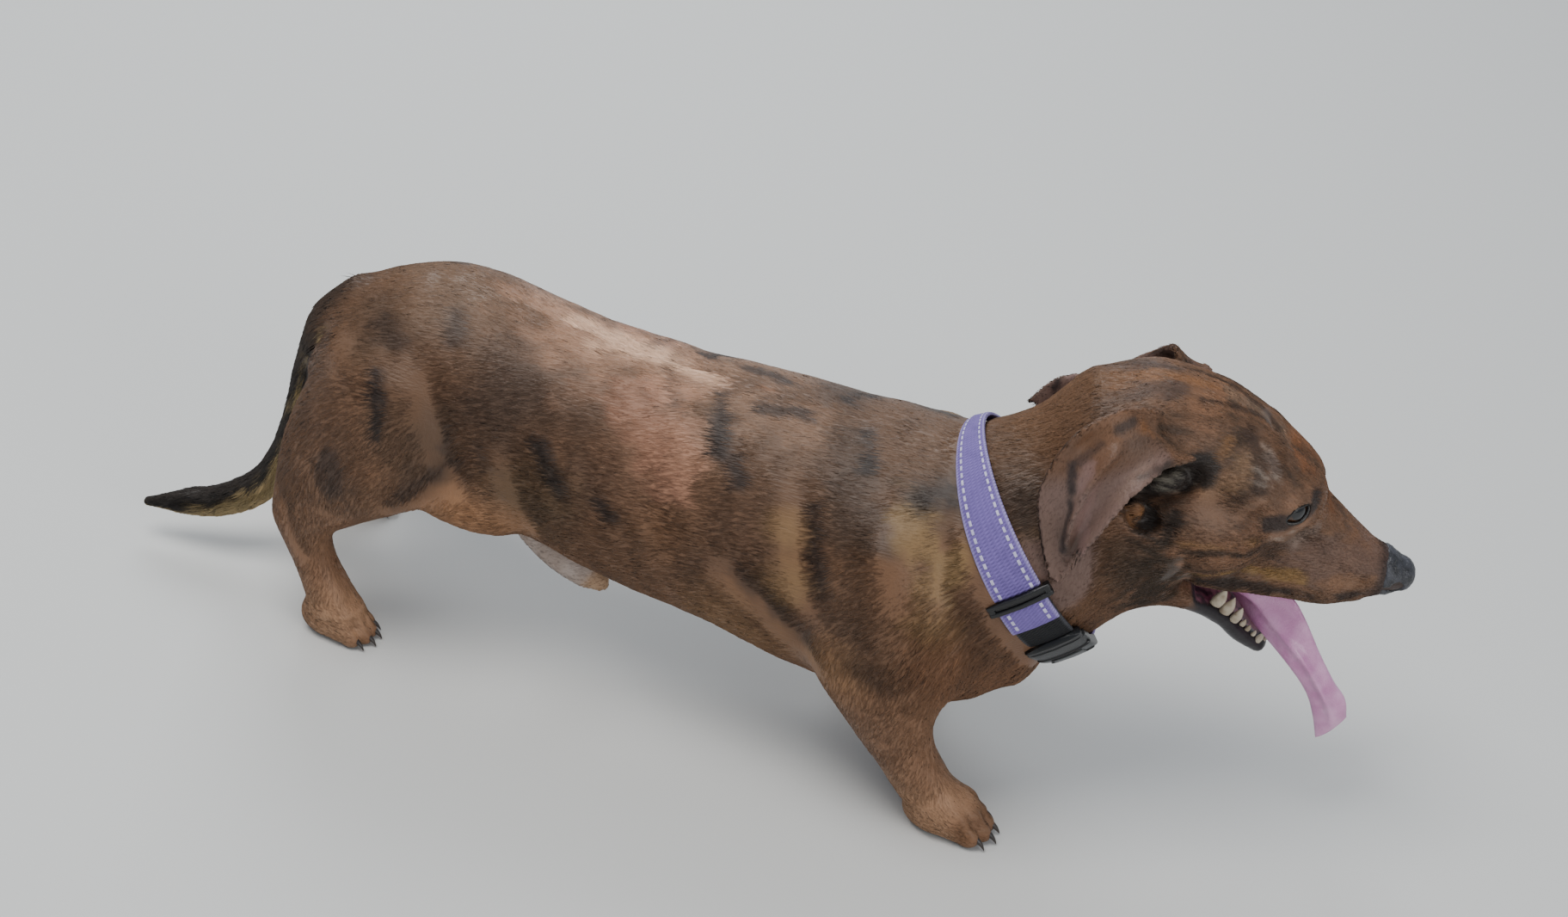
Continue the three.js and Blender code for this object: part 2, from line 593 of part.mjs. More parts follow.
head = head.add(join(teethSolids(UPPER_TEETH))).subtract(join([...eyeCuts, ...earHollows, tongueGrown]));
const nose = allHead.intersect(region(NOSE_PARTING, 0)).subtract(join(nostrils));
const lowerJaw = allHead.intersect(region(JAW_PARTING, 0)).subtract(jawFloor)
  .add(join(teethSolids(LOWER_TEETH)))
  .subtract(tongueGrown);
const neck = neckCore.add(skullLoft(0).add(jawLoft(0)).subtract(headSide(0)))
  .subtract(headSide(0)).intersect(neckSide(GAP));
const neckClear = neckLoft(GAP);
const ears = Object.fromEntries(Object.entries(EARS).map(([name, ear]) => [
  name, solid(earSheet(ear)).subtract(skullLoft(GAP)).subtract(neckClear),
]));

// Collar: violet band from the buckle over the nape to the slider, its loop end, black webbing and buckle
const SLIDER = [184, 189];
const LOOP_END = 202;
const BUCKLE = [219, 246];
const bodyClear = torsoLoft(GAP).add(neckLoft(GAP));
const strapSolid = (from, to, shape) => solid(strap(from, to, shape)).subtract(bodyClear);
const band = { inner: 0.7, outer: 0.7 + COLLAR_THICK, width: COLLAR_WIDTH };
const collar = {
  collar_band: strapSolid(BUCKLE[1] + 0.4, SLIDER[0] - 0.4 + 360, { ...band, steps: 36 }),
  collar_slider: strapSolid(SLIDER[0], SLIDER[1], { ...band, outer: 6, width: COLLAR_WIDTH + 6, steps: 2 }),
  collar_webbing: strapSolid(SLIDER[1] + 0.4, BUCKLE[0] - 0.4, { ...band, steps: 8 }),
  collar_loop: strapSolid(SLIDER[1] + 0.4, LOOP_END, {
    inner: band.outer + GAP, outer: band.outer + GAP + COLLAR_THICK, width: COLLAR_WIDTH, steps: 4,
  }),
  collar_buckle: strapSolid(BUCKLE[0], BUCKLE[1], {
    inner: 0.7, outer: 7.5, width: COLLAR_WIDTH + 4, steps: 6,
  }),
};

addPart('torso', torso, COAT);
addPart('neck', neck, '#7d5236');
addPart('head', head, COAT);
addPart('lower_jaw', lowerJaw, '#50352c');
addPart('nose', nose, '#2b2b2e', 0.45);
addPart('tongue', solid(tongueSheet()), '#c07a9c', 0.35);
addPart('eye_right', solid(eyeBall(-1, EYE_RADIUS)), '#1d1a18', 0.1);
addPart('eye_left', solid(eyeBall(1, EYE_RADIUS)), '#1d1a18', 0.1);
for (const [name, body] of Object.entries(ears)) addPart(name, body, '#5c3d33');
addPart('tail', tail, '#3a2a20');
for (const [name, body] of Object.entries(limbs)) addPart(name, body, TAN);
for (const [name, body] of Object.entries(collar)) {
  addPart(name, body, /band|loop/.test(name) ? '#8f78c4' : '#17181a', 0.6);
}

export default dog;
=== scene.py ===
"""The brindled dachshund as it looks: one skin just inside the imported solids, coat, eyes, mouth and collar.

Lengths are worked out in millimetres in the dog's own frame, x towards the head, y to its left and z up,
and every piece is moved to the row frame, in metres, when its mesh is made.
"""

import math

import bmesh
import bpy
import numpy as np
import openvdb
from mathutils import Matrix, Vector


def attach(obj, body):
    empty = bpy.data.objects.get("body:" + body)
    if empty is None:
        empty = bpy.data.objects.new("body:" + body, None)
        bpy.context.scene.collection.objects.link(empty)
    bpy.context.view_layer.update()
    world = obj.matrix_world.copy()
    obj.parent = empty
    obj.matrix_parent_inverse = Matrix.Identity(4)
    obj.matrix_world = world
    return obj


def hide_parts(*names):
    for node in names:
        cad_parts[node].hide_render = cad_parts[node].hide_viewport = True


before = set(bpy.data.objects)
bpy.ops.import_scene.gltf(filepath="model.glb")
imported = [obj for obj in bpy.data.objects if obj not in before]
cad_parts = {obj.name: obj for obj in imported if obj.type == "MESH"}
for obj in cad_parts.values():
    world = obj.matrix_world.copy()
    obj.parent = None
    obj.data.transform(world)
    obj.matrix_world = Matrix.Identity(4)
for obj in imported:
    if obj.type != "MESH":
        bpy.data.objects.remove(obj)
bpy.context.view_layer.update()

rng = np.random.default_rng(7)
MM = 0.001
# How far the row frame's origin lies behind the dog's own, and how far the distance fields reach
ORIGIN_X = 20.0
BAND = 22.0
# Cell and box of each distance field
BODY_CELL = 3.2
BODY_BOX = ((-386, -96, -6), (178, 96, 236))
HEAD_CELL = 1.6
HEAD_BOX = ((92, -76, 92), (356, 122, 286))
PAW_CELL = 1.1
NOSE_CELL = 0.75
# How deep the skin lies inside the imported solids: trunk and neck, limbs and head, jaw and sheath, paws
SKIN_DEPTH = 1.3
LIMB_DEPTH = 0.9
SLIGHT_DEPTH = 0.8
PAW_DEPTH = 0.5
# Lowest height of the skin over the floor
FLOOR_GAP = 0.5
NO_TRIS = np.zeros((0, 3), int)

# The head's place and its turns in degrees, the collar's plane, and the left eye in the head's frame
HEAD_AT = np.array([192.0, 22.0, 224.0])
HEAD_TURN = 20.0
HEAD_PITCH = 22.0
HEAD_TIP = 5.0
COLLAR_AT = np.array([131.0, 4.0, 162.0])
COLLAR_AHEAD = np.array([0.851, 0.104, 0.515])
EYE_AT = (68.0, 20.0, 14.0)
EYE_RADIUS = 10.5

# Lines of back and belly and half width of the trunk: x, top, belly, half width
TORSO_LINES = [
    (-264, 181, 108, 33), (-246, 199, 94, 48), (-220, 212, 84, 57), (-190, 218.5, 80, 60),
    (-150, 213, 79, 58), (-120, 209, 75, 58), (-90, 208, 68, 60), (-60, 206, 63, 62),
    (-30, 207, 61, 65), (0, 207, 58, 69), (30, 206, 53, 73), (60, 207, 51, 75),
    (90, 208, 51, 74), (115, 206, 54, 69), (138, 194, 61, 60), (155, 176, 73, 46),
]
# Path, half width and reach up and down: x, y, z, w, u, d, squareness
NECK = [
    (84, 0, 130, 58, 60, 60, 2), (110, 2, 144, 59, 63, 62, 2), (137, 4, 162, 57, 64.5, 63.5, 2),
    (160, 12, 180, 51, 60, 58, 2), (182, 20, 198, 46, 56, 52, 2),
]
TAIL = [
    (-246, -2, 188, 15, 13, 16, 2), (-265, -5, 168, 14.5, 12, 14, 2), (-275, -6, 138, 12.5, 11.5, 12, 2),
    (-282, -6, 106, 11, 10, 11, 2), (-290, -8, 76, 10.5, 10, 10, 2), (-303, -12, 50, 10, 9, 10, 2),
    (-325, -20, 35, 9.5, 8.5, 9, 2), (-348, -25, 29, 7.5, 7, 7.5, 2), (-370, -29, 23.5, 4, 3.6, 4.2, 2),
]
SHEATH = [
    (-156, 0, 82, 9, 9, 6, 2), (-140, 0, 67, 11, 12, 9, 2), (-122, 0, 56, 11.5, 14, 11, 2),
    (-106, 0, 48, 9.5, 12, 9.5, 2), (-97, 0, 44, 6, 7, 6, 2),
]
# Level sections of the legs: z, rear, front, distance from the middle, half width
FORE_LEG = [
    (166, 58, 102, 46, 26), (142, 52, 122, 52, 27), (118, 48, 128, 57, 25), (98, 49, 126, 61, 21),
    (82, 54, 121, 63, 18.5), (66, 66, 119, 62, 17), (50, 79, 122, 60, 16), (36, 91, 130, 58.5, 15.5),
    (22, 102, 140, 57, 16),
]
HIND_LEG = [
    (172, -246, -178, 38, 25), (148, -262, -169, 44, 27), (124, -270, -169, 50, 25),
    (106, -272, -182, 54, 21.5), (94, -273, -201, 56, 18), (83, -274, -218, 57, 15.5),
    (73, -274, -232, 58, 13.5), (63, -270, -238, 58, 12.5), (48, -262, -235, 58, 12),
    (34, -255, -227, 58.5, 13), (20, -250, -218, 59, 14),
]
# Section table, side, stride, height it starts from, paw's place, size and turn
LEGS = {
    "foreleg_right": (FORE_LEG, -1, 0, 90, (131, -57, 0), 0.97, 4),
    "foreleg_left": (FORE_LEG, 1, -64, 120, (68, 57, 0), 0.98, 3),
    "hindleg_right": (HIND_LEG, -1, 0, 90, (-234, -59, 0), 0.84, 0),
    "hindleg_left": (HIND_LEG, 1, -45, 130, (-278, 59, 0), 0.84, 3),
}
# Each toe's distance outwards and ahead, its turn and its share of the full size
TOES = [(-10.8, 10, -9, 0.9), (-3.8, 15, -3, 1.0), (3.8, 15, 3, 1.0), (10.8, 10, 9, 0.9)]

# Head, in its own frame: forward, top, base, half width, squareness
HEAD_LINES = [
    (-34, 27, -62, 36, 2.3), (-12, 43.5, -66, 41, 2.3), (10, 49, -63, 42.5, 2.3), (30, 47.5, -59, 42, 2.4),
    (50, 43, -56, 38.5, 2.5), (66, 36.5, -51, 33, 2.6), (78, 26, -48, 28, 2.7), (89, 18.5, -46, 25, 2.8),
    (103, 13.5, -43.5, 22.5, 2.8), (122, 8, -39, 19.5, 2.7), (136, 5.5, -33.5, 17, 2.5),
    (149, 4, -25, 13.5, 2.3), (158, 1.5, -17, 10, 2.2),
]
# Jaw and mouth room in the head's frame, in the same columns as the neck
JAW = [
    (-14, 0, -60, 36, 24, 46, 2), (12, 0, -60, 35, 20, 40, 2), (40, 0, -64, 29, 12, 25, 2),
    (62, 0, -67, 23.5, 8, 14, 2), (86, 0, -72.5, 18.5, 7.5, 9.5, 2), (106, 0, -80.5, 14.5, 7, 8.5, 2),
    (120, 0, -85, 11, 6, 7.5, 2),
]
MOUTH_ROOF = [
    (66, 0, -62, 19, 26, 6, 2.4), (90, 0, -58, 15, 32, 6, 2.4), (120, 0, -50, 11, 30, 6, 2.4),
    (142, 0, -42, 7, 22, 6, 2.2),
]
JAW_FLOOR = [(70, 0, -59, 10, 6, 5, 2), (95, 0, -68, 8, 6, 5, 2), (114, 0, -76, 5, 6, 4, 2)]
# Ears: side, bow, then the front and the rear edge from root to tip, as on the left side
EARS = {
    "right": (
        -1, 3,
        [(6, 34, 28), (-14, 50, 22), (-26, 60, 4), (-28, 66, -27), (-26, 62, -60)],
        [(-24, 24, 36), (-52, 42, 38), (-67, 52, 15), (-62, 54, -22), (-32, 60, -60)],
    ),
    "left": (
        1, 4,
        [(22, 35, 27), (16, 50, 28), (7, 59, -5), (-8, 63, -34), (-30, 64, -54)],
        [(-12, 32, 37), (-11, 47, 28), (-26, 57, -4), (-42, 61, -26), (-47, 63, -50)],
    ),
}
# The tongue's two edges from root to tip
TONGUE_LOW = [
    (52, 17, -56), (76, 13, -63), (95, 8, -70), (111, -6, -74), (130, -21.5, -76.5), (150, -25, -87),
    (163, -26, -99), (174, -26, -112),
]
TONGUE_HIGH = [
    (56, -9, -50), (82, -11, -45), (106, -13, -41), (124, -17, -49), (142, -21, -62), (160, -24, -74),
    (172, -25, -81), (180, -26, -91),
]
# Flews: root and edge of the lip along the side of the muzzle
LIP_ROOT = [(52, 30, -30), (66, 27, -27), (84, 22.5, -23), (104, 19, -18), (124, 16, -14), (142, 11, -9)]
LIP_EDGE = [
    (52, 28, -50), (66, 28, -46.5), (84, 25.5, -41.5), (104, 22, -37), (124, 18, -32), (142, 12, -25.5),
]
# Teeth: forward place, half spacing, height of the gum, radius and length
LOWER_TEETH = [
    (77, 16.2, -61, 3.3, 8.6), (85, 15.2, -64.5, 3.1, 8.2), (93.5, 13.8, -68.5, 2.6, 7.2),
    (100, 12.6, -71.5, 1.5, 3.4), (105, 11.6, -74, 1.3, 3.0), (110.5, 10.4, -76.5, 1.2, 2.8),
    (116, 9.0, -79, 1.8, 5.4), (121, 5.2, -80.5, 1.1, 3.0), (123.5, 1.8, -81.5, 1.1, 2.8),
]
UPPER_TEETH = [
    (90, 18, -33, 3.2, -5), (102, 16.5, -31, 2.4, -4), (131, 10, -24, 2.7, -6), (143, 3.6, -17, 1.7, -5),
]


# Frames and splines
def turned(x_deg, y_deg, z_deg):
    """Matrix of a turn about x, then about y, then about z, in degrees."""
    a, b, c = np.radians([x_deg, y_deg, z_deg])
    rx = np.array([[1, 0, 0], [0, math.cos(a), -math.sin(a)], [0, math.sin(a), math.cos(a)]])
    ry = np.array([[math.cos(b), 0, math.sin(b)], [0, 1, 0], [-math.sin(b), 0, math.cos(b)]])
    rz = np.array([[math.cos(c), -math.sin(c), 0], [math.sin(c), math.cos(c), 0], [0, 0, 1]])
    return rz @ ry @ rx


HEAD_AXES = turned(HEAD_TIP, HEAD_PITCH, HEAD_TURN)


def from_head(points):
    """Head frame to the dog's frame: turned by the head's axes, then moved to the head's place."""
    return np.asarray(points, float) @ HEAD_AXES.T + HEAD_AT


def to_head(points):
    """The dog's frame to the head frame: moved back from the head's place, then turned back."""
    return (np.asarray(points, float) - HEAD_AT) @ HEAD_AXES


def on_side(points, side):
    """The points with y times side: 1 keeps them and -1 mirrors them."""
    return np.asarray(points, float) * np.array([1, side, 1])


def eye_centre(side):
    """Centre of an eyeball in the dog's frame, side being -1 for the right one and 1 for the left one."""
    return from_head(on_side(EYE_AT, side))


def unit(v):
    """Each vector of the last axis over its own length."""
    return v / np.maximum(np.linalg.norm(v, axis=-1, keepdims=True), 1e-9)


def ease(a, b, x):
    """0 at a and before, 1 at b and past it, three squares less two cubes of the share between."""
    t = np.clip((x - a) / (b - a), 0, 1)
    return t * t * (3 - 2 * t)


def mix(base, other, share):
    """Rows of base times one less the share, plus other, a row or rows, times the share."""
    return base * (1 - share)[:, None] + other * share[:, None]


def spline(values, k, keys=None):
    """Cubic through values at keys, the slope at each being that of the chord between its neighbours."""
    values = np.asarray(values, float)
    last = len(values) - 1
    keys = np.arange(last + 1.0) if keys is None else np.asarray(keys, float)
    k = np.asarray(k, float)
    lo = np.maximum(np.arange(last + 1) - 1, 0)
    hi = np.minimum(np.arange(last + 1) + 1, last)
    slope = (values[hi] - values[lo]) / (keys[hi] - keys[lo])[:, None]
    i = np.clip(np.searchsorted(keys, k) - 1, 0, last - 1)
    span = (keys[i + 1] - keys[i])[..., None]
    t = np.clip((k - keys[i])[..., None] / span, 0, 1)
    first = (2 * t**3 - 3 * t**2 + 1) * values[i] + (t**3 - 2 * t**2 + t) * slope[i] * span
    return first + (3 * t**2 - 2 * t**3) * values[i + 1] + (t**3 - t**2) * slope[i + 1] * span


# Surfaces of two parameters, as rows of points
def ring_frame(stations, k, axis=None):
    """Centre, ahead, side and up of the section at station k, and its w, u, d and n."""
    stations = np.asarray(stations, float)
    last = len(stations) - 1
    k = np.atleast_1d(np.asarray(k, float))
    read = spline(stations, k)
    fore = spline(stations, np.minimum(last, k + 0.05))[:, :3]
    aft = spline(stations, np.maximum(0, k - 0.05))[:, :3]
    ahead = unit(fore - aft)
    if axis is not None:
        ahead = np.broadcast_to(np.asarray(axis, float), ahead.shape)
    left = np.array([0.0, 1.0, 0.0])
    side = unit(left - ahead * ahead[:, 1:2])
    up = np.cross(ahead, side)
    return read[:, :3], ahead, side, up, read[:, 3:]


def ring_rows(where, angles, grow=0.0, scale=1.0):
    """Superellipses: cosine and sine to the power two over n, times width and height, about the centre."""
    centre, _, side, up, sizes = where
    w, u, d, n = (sizes[:, i:i + 1] for i in range(4))
    c, s = np.cos(angles)[None], np.sin(angles)[None]
    across = np.sign(c) * np.abs(c) ** (2 / n) * (w + grow) * scale
    tall = np.sign(s) * np.abs(s) ** (2 / n) * (np.where(s > 0, u, d) + grow) * scale
    return centre[:, None] + side[:, None] * across[..., None] + up[:, None] * tall[..., None]


def closed(rows, start, end):
    """Rows of rings joined by quads, and a fan to one point at each end."""
    count, sides = rows.shape[:2]
    points = np.concatenate([rows.reshape(-1, 3), [start], [end]])
    r, s = np.meshgrid(np.arange(count - 1), np.arange(sides), indexing="ij")
    a = r * sides + s
    b = r * sides + (s + 1) % sides
    quads = np.stack([a, b, b + sides, a + sides], -1).reshape(-1, 4)
    s = np.arange(sides)
    t = (s + 1) % sides
    low = np.stack([np.full(sides, count * sides), t, s], -1)
    base = (count - 1) * sides
    high = np.stack([np.full(sides, count * sides + 1), base + s, base + t], -1)
    return points, quads, np.concatenate([low, high])


def loft(stations, rings=60, sides=64, domes=(6, 6), grow=0.0, axis=None):
    """Sections along a path, each end closed by a dome, whose sections shrink as a circle's chords do."""
    last = len(stations) - 1
    angles = np.linspace(0, 2 * np.pi, sides, endpoint=False)
    body = ring_rows(ring_frame(stations, np.linspace(0, last, rings), axis), angles, grow)
    caps = []
    poles = []
    for k, length, sign in ((0, domes[0], -1), (last, domes[1], 1)):
        centre, ahead, side, up, sizes = ring_frame(stations, [k], axis)
        rows = []
        for h in np.sin(np.radians([15, 30, 45, 60, 75])):
            at = centre + ahead * sign * (length + grow) * h
            rows.append(ring_rows((at, ahead, side, up, sizes), angles, grow, math.sqrt(1 - h * h))[0])
        caps.append(rows)
        poles.append((centre + ahead * sign * (length + grow))[0])
    rows = np.concatenate([np.array(caps[0][::-1]), body, np.array(caps[1])])
    return closed(rows, poles[0], poles[1])


def sheet(first, second, bow, thick, rows=60, cols=28, tip_from=0.7, dent=None):
    """Between two edge lines, bowed along the normal by a parabola, and thinner towards edges and tip."""
    keys = np.linspace(0, 1, len(first))
    k = np.linspace(0, 1, rows)
    a = spline(first, k, keys)
    b = spline(second, k, keys)
    more = np.minimum(1, k + 0.02)
    less = np.maximum(0, k - 0.02)
    ahead = spline(first, more, keys) + spline(second, more, keys)
    ahead = ahead - spline(first, less, keys) - spline(second, less, keys)
    normal = unit(np.cross(b - a, ahead))
    past = np.maximum(0, (k - tip_from) / (1 - tip_from))
    half = thick / 2 * np.sqrt(np.maximum(0.12, 1 - past**2))
    t = 0.5 - 0.5 * np.cos(np.linspace(0, np.pi, cols))
    hump = 4 * t * (1 - t)
    middle = a[:, None] + (b - a)[:, None] * t[None, :, None]
    lift = hump[None] * bow + np.zeros((rows, 1))
    if dent is not None:
        lift = lift + dent(k[:, None], t[None])
    body = half[:, None] * hump[None] ** 0.3
    front = middle + normal[:, None] * (lift + body)[..., None]
    back = middle + normal[:, None] * (lift - body)[..., None]
    ring = np.concatenate([front, back[:, -2:0:-1]], axis=1)
    return closed(ring, ring[0].mean(0), ring[-1].mean(0))


def moved(surface, change):
    """The same faces over changed points."""
    points, quads, tris = surface
    return change(points), quads, tris


def torso_stations():
    """The trunk's stations, each centred half way between the lines of back and belly."""
    rows = []
    for x, top, belly, w in TORSO_LINES:
        middle = (top + belly) / 2
        rows.append((x, 0, middle, w, top - middle, middle - belly, 2.15))
    return rows


def head_stations():
    """The head's stations, each centred 0.48 of the way up from its base line."""
    rows = []
    for x, top, base, w, n in HEAD_LINES:
        middle = base + (top - base) * 0.48
        rows.append((x, 0, middle, w, top - middle, middle - base, n))
    return rows


def leg_stations(table, side, reach, start):
    """Level sections, shifted ahead by a parabola that is 0 at the start height and reach at the floor."""
    rows = []
    for z, rear, front, y, w in table:
        share = min(1, max(0, (start - z) / start))
        x = (rear + front) / 2 + reach * share * (2 - share)
        half = (front - rear) / 2
        rows.append((x, side * y, z, w, half, half, 2.2))
    return rows


# Distance fields on a regular grid
class Field:
    """Signed distances in millimetres on a box of cubic cells, negative inside."""

    def __init__(self, low, high, cell):
        self.cell = cell
        self.first = np.floor(np.asarray(low) / cell).astype(int)
        self.shape = tuple(np.ceil((np.asarray(high) - low) / cell).astype(int))
        axes = [(self.first[i] + np.arange(self.shape[i])) * cell for i in range(3)]
        self.x, self.y, self.z = np.meshgrid(*axes, indexing="ij", sparse=True)
        self.values = np.full(self.shape, BAND, np.float32)

    def places(self):
        """Every grid point as a row."""
        return np.stack(np.broadcast_arrays(self.x, self.y, self.z), -1).reshape(-1, 3)

    def of(self, surface):
        """Distance to a closed surface."""
        points, quads, tris = surface
        form = openvdb.createLinearTransform(voxelSize=self.cell)
        level = openvdb.FloatGrid.createLevelSetFromPolygons(
            points.astype(np.float32), triangles=tris.astype(np.uint32), quads=quads.astype(np.uint32),
            transform=form, halfWidth=BAND / self.cell,
        )
        out = np.full(self.shape, BAND, np.float32)
        level.copyToArray(out, ijk=tuple(int(i) for i in self.first))
        return out

    def ball(self, at, size, axes=None):
        """Distance to an ellipsoid in its own axes, by its level over that level's slope."""
        d = [self.x - at[0], self.y - at[1], self.z - at[2]]
        axes = np.eye(3) if axes is None else axes
        local = [axes[0, i] * d[0] + axes[1, i] * d[1] + axes[2, i] * d[2] for i in range(3)]
        one = np.sqrt(sum((q / r) ** 2 for q, r in zip(local, size)))
        two = np.sqrt(sum((q / r**2) ** 2 for q, r in zip(local, size)))
        return np.minimum(one * (one - 1) / np.maximum(two, 1e-6), BAND).astype(np.float32)

    def read(self, points):
        """Distance at each point, linear between the grid's values."""
        q = np.asarray(points) / self.cell - self.first
        q = np.clip(q, 0, np.array(self.shape) - 1.001)
        i = q.astype(int)
        f = q - i
        total = 0
        for a in (0, 1):
            for b in (0, 1):
                for c in (0, 1):
                    w = np.abs(1 - a - f[:, 0]) * np.abs(1 - b - f[:, 1]) * np.abs(1 - c - f[:, 2])
                    total = total + w * self.values[i[:, 0] + a, i[:, 1] + b, i[:, 2] + c]
        return total

    def slope(self, points):
        """Unit vector of steepest rise, from central differences of 0.8 cell."""
        step = self.cell * 0.8
        parts = []
        for axis in range(3):
            d = np.zeros(3)
            d[axis] = step
            parts.append(self.read(points + d) - self.read(points - d))
        return unit(np.stack(parts, -1))

    def drawn_in(self, points, steps):
        """Points moved along the slope onto the surface, in a few steps."""
        for _ in range(steps):
            points = points - self.slope(points) * self.read(points)[:, None]
        return points

    def surface(self):
        """The zero surface as points and quads."""
        grid = openvdb.FloatGrid()
        grid.background = BAND
        grid.copyFromArray(self.values, ijk=tuple(int(i) for i in self.first))
        grid.transform = openvdb.createLinearTransform(voxelSize=self.cell)
        points, quads = grid.convertToQuads()
        return points.astype(float), quads.astype(int)


def melt(a, b, k):
    """Smooth union: the smaller distance, less a parabola where the two differ by less than k."""
    h = np.maximum(k - np.abs(a - b), 0) / k
    return np.minimum(a, b) - h * h * (k / 4)


def carve(a, b, k):
    """a without b, its edge rounded over k."""
    return -melt(-a, b, k)


def melt_cut(a, b, k):
    """What a and b share, its edge rounded over k."""
    return -melt(-a, -b, k)


TORSO_FORM = loft(torso_stations(), 140, 80, (10, 14), -SKIN_DEPTH)
NECK_FORM = loft(NECK, 60, 80, (10, 16), -SKIN_DEPTH)


def paw_balls(paw, size, turn):
    """Centre, radii and axes of the sole and of two balls for each toe."""
    whole = turned(0, 0, turn)
    parts = [((-1, 0, 13), (23, 16, 16), np.eye(3))]
    for out, ahead, toe_turn, share in TOES:
        wide = 6.3 * share
        parts.append(((ahead - 2, out, 12), (12 * share, wide, 11), turned(0, 14, toe_turn)))
        parts.append(((ahead + 7, out * 1.06, 6.6), (8.4 * share, wide * 0.86, 7.6), turned(0, 20, toe_turn)))
    placed = []
    for at, radii, axes in parts:
        centre = np.array(paw, float) + whole @ (np.array(at, float) * size)
        placed.append((centre, np.array(radii) * size - PAW_DEPTH, whole @ axes))
    return placed


def add_leg(field, name, highest=0):
    """One leg from its section number highest down, melted over 14 mm into the field, and its paw over 7."""
    table, side, reach, start, paw, size, turn = LEGS[name]
    stations = leg_stations(table, side, reach, start)[highest:]
    limb = loft(stations, 60, 40, (14, 6), -LIMB_DEPTH, (0, 0, -1))
    foot = None
    for at, radii, axes in paw_balls(paw, size, turn):
        one = field.ball(at, radii, axes)
        foot = one if foot is None else melt(foot, one, 2.0)
    field.values = melt(field.values, field.of(limb), 14.0)
    field.values = melt(field.values, foot, 7.0)


def fill_body(field):
    """Trunk, neck, sheath, tail and legs melted together, cut flat at the floor."""
    field.values = melt(field.of(TORSO_FORM), field.of(NECK_FORM), 7.0)
    field.values = melt(field.values, field.of(loft(SHEATH, 30, 32, (4, 6), -SLIGHT_DEPTH)), 9.0)
    field.values = melt(field.values, field.of(loft(TAIL, 80, 32, (6, 5), -LIMB_DEPTH)), 9.0)
    for name in LEGS:
        add_leg(field, name)
    for side in (-1, 1):
        flank = field.ball((-168, side * 40, 101), (30, 12, 13), turned(0, 8, 0))
        elbow = field.ball((58, side * 62, 104), (11, 14, 15))
        field.values = melt(melt(field.values, flank, 12.0), elbow, 9.0)
    field.values = np.maximum(field.values, FLOOR_GAP - field.z)


def ear_folds(side):
    """Height of the flap's folds: a crease down the middle, a knob at its top and an edge curled forward."""
    def height(k, t):
        """Bell curves, eased waves and a sine of the places down the flap and across it."""
        crease = -7.0 * np.exp(-(((t - 0.75 + 0.5 * k) / 0.055) ** 2))
        crease = crease * ease(0.3, 0.42, k) * ease(0.95, 0.75, k)
        knob = 3.6 * np.exp(-(((t - 0.80) / 0.10) ** 2 + ((k - 0.45) / 0.07) ** 2))
        curl = -4.0 * ease(0.16, 0.0, t) * ease(0.2, 0.4, k)
        curl = curl + 2.8 * np.exp(-(((t - 0.22) / 0.12) ** 2)) * ease(0.2, 0.45, k)
        wave = 1.5 * np.sin(7.5 * k + 4 * t)
        return side * (crease + knob + curl + wave)
    return height


